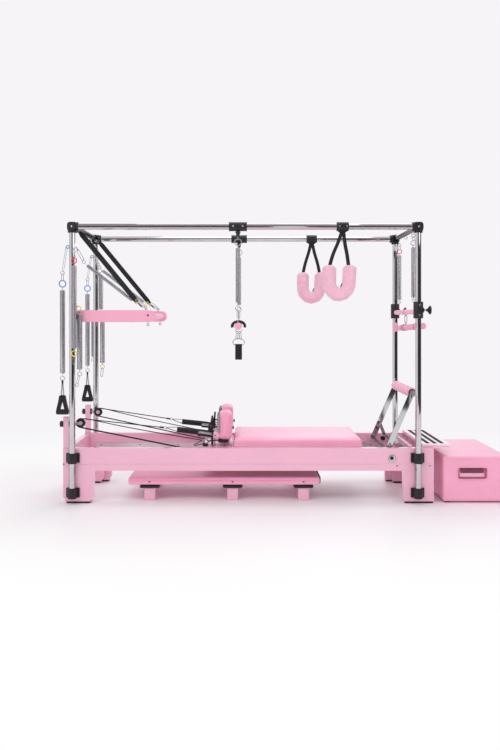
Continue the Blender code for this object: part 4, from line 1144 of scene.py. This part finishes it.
def collars():
    """The height collars with their plungers and foam bar, and the roll-down bar on its chain."""
    x, z = FOOT_X, 1.235
    body = "collars"
    for side, s in SIDES.items():
        y = s * UPRIGHT_Y
        profile = ((0.02, 0.053), (0.029, 0.053), (0.031, 0.05), (0.031, -0.05), (0.029, -0.053),
                   (0.02, -0.053))
        mesh_piece("collar_" + side, turned_ring(at(x, y, z), 2, profile), "black", body,
                   ["collar_bar"] if side == "front" else [])
        turned("collar_plunger_" + side, at(x + 0.028, y, z), (1, 0, 0),
               [(0.0, 0.0165), (0.006, 0.0165), (0.008, 0.0105), (0.01, 0.01)], "black", body)
        rod("collar_pin_" + side, at(x + 0.036, y, z), at(x + 0.051, y, z), 0.0055, "brass", body)
        turned("collar_knob_" + side, at(x + 0.049, y, z), (1, 0, 0),
               [(0.0, 0.008), (0.008, 0.0095), (0.016, 0.019), (0.02, 0.0265), (0.027, 0.028),
                (0.03, 0.0265), (0.031, 0.02)], "black", body)
        for level, up in (("low", -0.032), ("high", 0.032)):
            screw(f"collar_screw_{side}_{level}", at(x, y + s * 0.0305, z + up), (0, s, 0), 0.0055,
                  "steel", body)
    foam_roller("collar_foam", at(x, -0.335, z - 0.01), at(x, 0.335, z - 0.01), 0.0165, body)
    body = "roll_down"
    near, far = at(1.1325, -0.3, 1.133), at(1.0584, 0.1157, 1.115)
    foam_roller("roll_down_foam", near, far, 0.0205, body, ["roll_down_bar"], 0.012)
    way = (far - near).normalized()
    for count, share in enumerate((0.3, 0.725, 0.8)):
        hoop(f"roll_down_band_{count}", near.lerp(far, share), way, 0.0208, 0.002, body, "black")
    hoop("roll_down_eye", at(x, 0, 1.15), (1, 0, 0), 0.0075, 0.0022, body)
    long_ring("roll_down_clip", at(x, 0, 1.203), at(x, 0, 1.152), 0.015, 0.0022, body)
    hoop("collar_foam_band", at(x, 0, z - 0.01), (0, 1, 0), 0.0175, 0.002, "collars")
    hoop("collar_foam_eye", at(x, 0, z - 0.032), (1, 0, 0), 0.0075, 0.002, "collars")
    block("collar_tab", at(1.06, 0.33, 1.084), at(1.086, 0.349, 1.154), "foam", "collars", bevel=0.006)
    cable("collar_tab_wire", [at(1.073, 0.3405, 1.15), at(1.073, 0.3405, 1.17), at(1.075, 0.344, 1.186)],
          0.002, "steel", "collars")
    hoop("cross_tube_eye", at(x, 0.0, 1.735), (0, 1, 0), 0.0105, 0.0022, "frame")


def foot_springs():
    """The two springs that hang from the foot cross tube."""
    for side, s in SIDES.items():
        x, y = FOOT_SPRING_X[side], s * 0.31
        body = "foot_spring_" + side
        wound("foot_coil_" + side, at(x, y, 1.655), at(x, y, 1.302), 0.012, 0.0015, body,
              ["foot_spring_" + side], hook=0.014)
        hoop("foot_spring_eye_" + side, at(x, y, 1.715), (0, 1, 0), 0.0105, 0.0024, body)
        long_ring("foot_spring_link_" + side, at(x, y, 1.708), at(x, y, 1.68), 0.012, 0.0019, body)
        hoop("foot_spring_ring_" + side, at(x, y, 1.667), (0.2, 1, 0), 0.015, 0.0028, body,
             "steel" if s < 0 else "red")
        hoop("foot_spring_end_" + side, at(x, y, 1.299), (0, 1, 0), 0.009, 0.002, body)


def trapeze():
    """Springs from the rail sliders down to the foam bar, and the sling with its strap."""
    x = TRAPEZE_X
    finish_nodes("black", "trapeze_slider_front", "trapeze_slider_back")
    body = "trapeze"
    for side, s in SIDES.items():
        y = s * UPRIGHT_Y
        for tag, way in WAYS.items():
            lip = at(x + way * 0.0535, y, CANOPY_Z)
            rod(f"slider_lip_{side}_{tag}", lip - Vector((way * 0.004, 0, 0)),
                lip + Vector((way * 0.0035, 0, 0)), 0.0305, "black", "trapeze_sliders", bevel=0.002)
            screw(f"slider_screw_{side}_{tag}", at(x + way * 0.03, y + s * 0.0285, CANOPY_Z), (0, s, 0),
                  0.0062, "steel", "trapeze_sliders")
        turned("slider_knob_" + side, at(x, y, 1.7335), (0, 0, -1),
               [(0.0, 0.017), (0.006, 0.017), (0.014, 0.0125), (0.026, 0.0105), (0.032, 0.0065)], "black",
               "trapeze_sliders")
        hoop("trapeze_eye_" + side, at(x, y, 1.6905), (1, 0, 0), 0.0095, 0.0022, body)
        hoop("trapeze_ring_" + side, at(x, y, 1.666), (0.15, 1, 0), 0.0215, 0.0026, body)
        wound("trapeze_coil_" + side, at(x, y, 1.645), at(x, y, 1.266), 0.0135, 0.0017, body,
              ["trapeze_spring_" + side], hook=0.016)
        hoop("trapeze_low_ring_" + side, at(x, y, 1.246), (0, 1, 0), 0.016, 0.0022, body)
        long_ring("trapeze_link_" + side, at(x, y, 1.232), at(x, y, 1.184), 0.011, 0.002, body)
        hoop("trapeze_swivel_" + side, at(x, y, 1.176), (1, 0, 0), 0.0095, 0.0022, body)
        rod("trapeze_stem_" + side, at(x, y, 1.168), at(x, y, 1.15), 0.0045, "steel", body)
    foam_roller("trapeze_foam", at(x, -0.3925, TRAPEZE_Z), at(x, 0.3925, TRAPEZE_Z), 0.0222, body,
                ["trapeze_bar"], 0.014)
    sling(x, body)


def sling(x, body):
    """The padded saddle over the middle of the trapeze bar, and the strap that hangs from it."""
    z = TRAPEZE_Z
    shape = bmesh.new()
    rows = []
    arch = [math.radians(200 - 220 * step / 22) for step in range(23)]
    section = [(0.05 * math.cos(a), 0.037 * math.sin(a)) for a in arch]
    section += [(0.0375 * math.cos(a), 0.0228 * math.sin(a)) for a in reversed(arch)]
    for step in range(13):
        y = -0.1 + 0.2 * step / 12
        thin = 1.0 - 0.1 * abs(2 * step / 12 - 1) ** 6
        rows.append([shape.verts.new(at(x + dx * thin, y, z + dz * thin)) for dx, dz in section])
    saddle = mesh_piece("sling_saddle", skin(shape, rows), "webbing", body, bevel=0.002, angle=50)
    for count, y in enumerate((-0.0965, 0.0965)):
        edge = [at(x + 0.05 * math.cos(a), y, z + 0.0372 * math.sin(a)) for a in arch]
        cable(f"sling_edge_{count}", edge, 0.0022, "webbing", body)
    for side, s in SIDES.items():
        hook_x = x + s * 0.0095
        ribbon("sling_strap_" + side, [at(x + s * 0.026, 0, 1.106), at(x + s * 0.02, 0, 1.098),
                                       at(hook_x, 0, 1.091)], 0.02, 0.0028, "webbing", body)
        hoop("sling_ring_" + side, at(hook_x, 0, 1.086), (0, 1, 0), 0.0078, 0.002, body)
        long_ring("sling_hook_" + side, at(hook_x, 0, 1.08), at(hook_x + s * 0.004, 0, 1.039), 0.012,
                  0.0022, body)
    ring = [at(x - 0.02, 0, 1.04), at(x + 0.02, 0, 1.04), at(x + 0.036, 0, 1.03), at(x + 0.0375, 0, 1.012),
            at(x + 0.028, 0, 1.001), at(x - 0.028, 0, 1.001), at(x - 0.0375, 0, 1.012),
            at(x - 0.036, 0, 1.03)]
    cable("sling_d_ring", ring, 0.003, "steel", body, closed=True)
    loop = [at(x, 0.004, 1.006), at(x, 0.014, 0.985), at(x, 0.02, 0.945), at(x, 0.016, 0.906),
            at(x, 0.0, 0.8985), at(x, -0.016, 0.906), at(x, -0.02, 0.945), at(x, -0.014, 0.985),
            at(x, -0.004, 1.006)]
    ribbon("sling_loop", loop, 0.0465, 0.003, "webbing", body, across=(1, 0, 0))


def fleece_loop(side, s):
    """A fuzzy U of fleece: a swept tube with domed ends, its skin tufted all over."""
    half, turn_z, drop, top, radius = 0.062, 1.41, 0.075, 1.521, 0.0425
    leg = [Vector((-half, 0, z)) for z in (top - 0.003 * step
                                           for step in range(int((top - turn_z) / 0.003)))]
    route = leg + [Vector((half * math.cos(a), 0, turn_z + drop * math.sin(a)))
                   for a in (math.pi + math.pi * step / 64 for step in range(65))]
    route += [Vector((-point.x, 0, point.z)) for point in reversed(leg)]
    cap, sides, rows = 0.03, 84, []
    centre = at(LOOP_X[side], s * UPRIGHT_Y, 0)
    shape = bmesh.new()
    for index, point in enumerate(route):
        before, after = route[max(0, index - 1)], route[min(len(route) - 1, index + 1)]
        out = Vector((0, 1, 0)).cross((after - before).normalized())
        left = min(1.0, (0.0015 + 0.003 * min(index, len(route) - 1 - index)) / cap)
        size = radius * math.sqrt(1 - (1 - left) ** 2)
        lean = 0.007 * max(0.0, point.z - 1.4) / 0.12 * (1 if point.x > 0 else 0)
        row = []
        for step in range(sides):
            a = 2 * math.pi * step / sides
            way = out * math.cos(a) + Vector((0, 1, 0)) * math.sin(a)
            place = centre + point + Vector((lean, 0, 0)) + way * size
            tuft = 0.0036 * noise.noise(place * 45) + 0.003 * noise.noise(place * 160)
            tuft += 0.0016 * noise.noise(place * 330)
            row.append(shape.verts.new(place + way * tuft * min(1.0, size / radius + 0.1)))
        rows.append(row)
    body = "foot_loop_" + side
    loop = mesh_piece("fleece_loop_" + side, skin(shape, rows), "fleece", body, [body], angle=180)


def foot_loops():
    """The hangers of the fleece loops and their webbing."""
    for side, s in SIDES.items():
        x, y = HANGER_X[side], s * UPRIGHT_Y
        body = "foot_loop_" + side
        fleece_loop(side, s)
        profile = ((0.02, 0.038), (0.0265, 0.038), (0.029, 0.034), (0.029, -0.034), (0.0265, -0.038),
                   (0.02, -0.038))
        mesh_piece("hanger_" + side, turned_ring(at(x, y, CANOPY_Z), 0, profile, 36), "black", body)
        outline = [(x + dx, z) for dx, z in ((-0.038, 1.752), (0.038, 1.752), (0.036, 1.741),
                                             (0.016, 1.7245), (-0.016, 1.7245), (-0.036, 1.741))]
        mesh_piece("hanger_plate_" + side, slab(outline, y - 0.0115, y + 0.0115), "black", body,
                   bevel=0.0025)
        centre = LOOP_X[side]
        for letter, way in WAYS.items():
            tag = f"{side}_{letter}"
            leg = centre + way * 0.062
            route = [at(x + way * 0.006, y, 1.73), at(x + (leg - x) * 0.35, y, 1.66),
                     at(x + (leg - x) * 0.75, y, 1.585), at(leg, y, 1.505)]
            ribbon("loop_strap_" + tag, route, 0.0235, 0.012, "webbing", body, across=(1, 0, 0), ends=0.6)
            block("loop_strap_stitch_" + tag, at(x + way * 0.0075 - 0.0065, y - 0.01, 1.712),
                  at(x + way * 0.0075 + 0.0065, y + 0.01, 1.727), "webbing", body, bevel=0.002)
        ribbon("loop_lining_" + side, [at(centre + 0.021, y, 1.404), at(centre + 0.012, y, 1.386),
                                       at(centre + 0.008, y, 1.366)], 0.02, 0.006, "webbing", body)
        for tag, way in WAYS.items():
            screw(f"hanger_screw_{side}_{tag}", at(x + way * 0.022, y + s * 0.0285, CANOPY_Z), (0, s, 0),
                  0.0055, "steel", body)


def sitting_box():
    """The upholstered box with a moulded hand hold in its front."""
    low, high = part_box("sitting_box")
    body = "sitting_box"
    shape = cushion_mesh(low + Vector((0.002, 0.002, 0.008)), high - Vector((0.002, 0.002, 0.003)), 0.016,
                         0.003, 0.0015, (34, 44, 24))
    box_piece = mesh_piece("seat_box", shape, "vinyl", body, ["sitting_box"], angle=60)
    x0, x1, z0, z1 = at(1.3395, 0, 0).x, at(1.5305, 0, 0).x, 0.1505, 0.2285
    front = low.y + 0.002
    hole = cushion_mesh((x0, front - 0.02, z0), (x1, front + 0.04, z1), 0.019, counts=(24, 6, 18))
    cut_away(box_piece, hole, 50)
    outline = []
    bend, rim = 0.019, 0.0195
    for cx, cz, first in ((x1 - bend, z1 - bend, 0), (x0 + bend, z1 - bend, 90),
                          (x0 + bend, z0 + bend, 180), (x1 - bend, z0 + bend, 270)):
        for step in range(6):
            a = math.radians(first + 90 * step / 5)
            outline.append((cx + rim * math.cos(a), front - 0.0012, cz + rim * math.sin(a)))
    cable("hand_hold_rim", outline, 0.0034, "paint", body, smooth=False, closed=True)
    cup = cushion_mesh((x0 + 0.012, front + 0.01, z0 + 0.01), (x1 - 0.012, front + 0.042, z1 - 0.01),
                       0.012, counts=(20, 6, 12))
    mesh_piece("hand_hold_cup", cup, "paint", body, angle=60)
    # A dark slot deep in the hand hold: painted shade for its recess.
    slot = cushion_mesh((x0 + 0.018, front + 0.004, 0.19), (x1 - 0.02, front + 0.016, 0.218), 0.0055,
                        counts=(20, 4, 8))
    mesh_piece("hand_hold_shade_slot", slot, "dark", body)
    for name, z in (("top", high.z - 0.022), ("low", low.z + 0.024)):
        seam("box_seam_" + name, low + Vector((0.002, 0.002, 0)), high - Vector((0.002, 0.002, 0)), z,
             0.016, "vinyl", body)
    middle = (low + high) / 2
    for count, (px, py) in enumerate(((1, 1), (1, -1), (-1, 1), (-1, -1))):
        corner = middle + Vector((px * 0.185, py * 0.325, 0))
        rod(f"box_foot_{count}", (corner.x, corner.y, 0.0), (corner.x, corner.y, 0.0095), 0.016, "rubber",
            body, bevel=0.002)


def mat():
    """The padded mat stored under the bed, on its short posts."""
    body = "mat"
    low, high = at(-0.783, -0.28, 0.1), at(0.467, 0.28, 0.156)
    pad = cushion_mesh(low + Vector((0.003, 0.003, 0.001)), high - Vector((0.003, 0.003, 0.004)), 0.014,
                       0.003, 0.002, (60, 30, 6))
    pad = mesh_piece("mat_pad", pad, "vinyl", body, ["mat"], angle=60)
    seam("mat_seam", low + Vector((0.003, 0.003, 0)), high - Vector((0.003, 0.003, 0)), 0.1285, 0.014,
         "vinyl", body)
    end = cushion_mesh(at(0.4605, -0.262, 0.108), at(0.4695, 0.262, 0.15), 0.004, counts=(6, 20, 8))
    mesh_piece("mat_end_trim", end, "rubber", body)
    for count, x in enumerate((-0.642, -0.103, 0.358)):
        for side, s in SIDES.items():
            y = s * 0.235
            post = cushion_mesh(at(x - 0.036, y - 0.028, 0.0), at(x + 0.036, y + 0.028, 0.082), 0.006,
                                counts=(10, 10, 10))
            mesh_piece(f"mat_post_{count}_{side}", post, "paint", body)
            block(f"mat_plate_{count}_{side}", at(x - 0.0635, y - 0.04, 0.081),
                  at(x + 0.0635, y + 0.04, 0.0985), "black", body, bevel=0.004)
            screw(f"mat_screw_{count}_{side}", at(x, s * 0.277, 0.124), (0, s, 0), 0.0058, "dark", body,
                  0.002)


# Light, floor and background


# Dark reflectors, seen only in the chrome: name, place, width and height
DARK_CARDS = (("card_front", (2.6, -4.4, 1.6), 4.4, 3.2), ("card_right", (4.6, -1.2, 1.6), 2.6, 3.0),
              ("card_left", (-5.0, -2.0, 1.4), 1.6, 2.8), ("card_middle", (-1.1, -5.5, 1.4), 3.0, 3.0),
              ("card_above", (0.0, -2.4, 4.4), 6.0, 3.6))

# Area lamps: name, place, size and watts
LAMPS = (("key", (-2.6, -3.4, 4.2), 2.6, 66.0), ("fill", (3.4, -2.6, 3.0), 2.2, 28.0),
         ("top", (0.2, 0.6, 4.6), 3.0, 45.0), ("rim", (1.5, 4.2, 3.2), 2.4, 34.0),
         ("front", (0.3, -5.2, 0.7), 2.0, 27.0), ("low_back", (0.5, 4.4, 0.9), 3.0, 60.0))


def seen_rays(tree):
    """1 for rays that show the background: straight from the camera, mirrored or through glass."""
    path = tree.nodes.new("ShaderNodeLightPath")
    rays = path.outputs["Is Camera Ray"]
    for kind in ("Is Glossy Ray", "Is Transmission Ray"):
        either = tree.nodes.new("ShaderNodeMath")
        either.operation = "MAXIMUM"
        tree.links.new(rays, either.inputs[0])
        tree.links.new(path.outputs[kind], either.inputs[1])
        rays = either.outputs[0]
    return rays


def smooth_step(look, value, first, last):
    """0 below the first value and 1 above the last."""
    step = look.node("ShaderNodeMapRange", From_Min=first, From_Max=last)
    step.interpolation_type = "SMOOTHSTEP"
    look.link(value, step.inputs["Value"])
    return step.outputs["Result"]


def floor_finish():
    """A white matt floor that fades, away from the object, to plain white and then to the background."""
    look = Finish("floor_finish", linear(254, 252, 254), 0.55, mottle=0.006, mottle_scale=1.3)
    look.bump(look.noise(40.0, 3.0), 0.03, 0.002)
    squeezed = look.node("ShaderNodeVectorMath")
    squeezed.operation = "MULTIPLY"
    squeezed.inputs[1].default_value = (1.0, 1.5, 1.0)
    look.link(look.place, squeezed.inputs[0])
    away = look.node("ShaderNodeVectorMath")
    away.operation = "LENGTH"
    look.link(squeezed.outputs[0], away.inputs[0])
    seen = look.combine(smooth_step(look, away.outputs["Value"], 1.6, 3.2), seen_rays(look.tree))
    parts = look.node("ShaderNodeSeparateXYZ")
    look.link(look.place, parts.inputs[0])
    tone = look.node("ShaderNodeMix")
    tone.data_type = "RGBA"
    behind = smooth_step(look, parts.outputs["Y"], -0.3, 3.2)
    distant = smooth_step(look, away.outputs["Value"], 5.5, 13.0)
    look.link(look.combine(behind, distant, "MAXIMUM"), tone.inputs["Factor"])
    tone.inputs[6].default_value = (1.0, 1.0, 1.0, 1.0)
    tone.inputs[7].default_value = BACKGROUND
    glow = look.node("ShaderNodeEmission")
    look.link(tone.outputs[2], glow.inputs["Color"])
    mix = look.node("ShaderNodeMixShader")
    look.link(seen, mix.inputs["Fac"])
    look.link(look.shader.outputs["BSDF"], mix.inputs[1])
    look.link(glow.outputs["Emission"], mix.inputs[2])
    look.link(mix.outputs["Shader"], look.tree.nodes["Material Output"].inputs["Surface"])
    return look.material


def stage_and_light():
    """A pale floor under a soft, even light; the background is the same pale tone where it is seen."""
    floor = bpy.data.meshes.new("floor")
    floor.from_pydata([(-30, -30, 0), (30, -30, 0), (30, 30, 0), (-30, 30, 0)], [], [(0, 1, 2, 3)])
    floor = bpy.data.objects.new("floor", floor)
    bpy.context.collection.objects.link(floor)
    floor.data.materials.append(floor_finish())
    for name, place, width, height in DARK_CARDS:
        card = bpy.data.meshes.new(name)
        half, tall = width / 2, height / 2
        card.from_pydata([(-half, -tall, 0), (half, -tall, 0), (half, tall, 0), (-half, tall, 0)], [],
                         [(0, 1, 2, 3)])
        card = bpy.data.objects.new(name, card)
        card.location = at(*place)
        card.rotation_euler = (at(0, 0, 0.9) - card.location).to_track_quat("Z", "Y").to_euler()
        card.data.materials.append(MAT[name if name in MAT else "card"])
        bpy.context.collection.objects.link(card)
        card.visible_camera = card.visible_diffuse = card.visible_shadow = card.visible_transmission = False
    world = bpy.data.worlds.new("world")
    bpy.context.scene.world = world
    world.use_nodes = True
    tree = world.node_tree
    seen, lit = tree.nodes["Background"], tree.nodes.new("ShaderNodeBackground")
    seen.inputs["Color"].default_value = BACKGROUND
    lit.inputs["Color"].default_value = (1.0, 0.99, 0.995, 1.0)
    lit.inputs["Strength"].default_value = 0.55
    mix = tree.nodes.new("ShaderNodeMixShader")
    tree.links.new(seen_rays(tree), mix.inputs["Fac"])
    tree.links.new(lit.outputs["Background"], mix.inputs[1])
    tree.links.new(seen.outputs["Background"], mix.inputs[2])
    tree.links.new(mix.outputs["Shader"], tree.nodes["World Output"].inputs["Surface"])
    for name, place, size, power in LAMPS:
        data = bpy.data.lights.new(name, "AREA")
        data.energy = power
        data.size = size
        lamp = bpy.data.objects.new(name, data)
        lamp.location = at(*place)
        lamp.rotation_euler = (at(0, 0, 0.7) - lamp.location).to_track_quat("-Z", "Y").to_euler()
        lamp.visible_glossy = name not in ("low_back", "front")
        bpy.context.collection.objects.link(lamp)


def main():
    bpy.context.scene.view_settings.view_transform = "Standard"
    make_camera()
    bed()
    platform()
    canopy()
    pulley_end()
    carriage()
    ropes()
    footbar()
    push_bar()
    push_bar_hangers()
    handle_springs()
    spare_springs()
    collars()
    foot_springs()
    trapeze()
    foot_loops()
    sitting_box()
    mat()
    stage_and_light()


main()
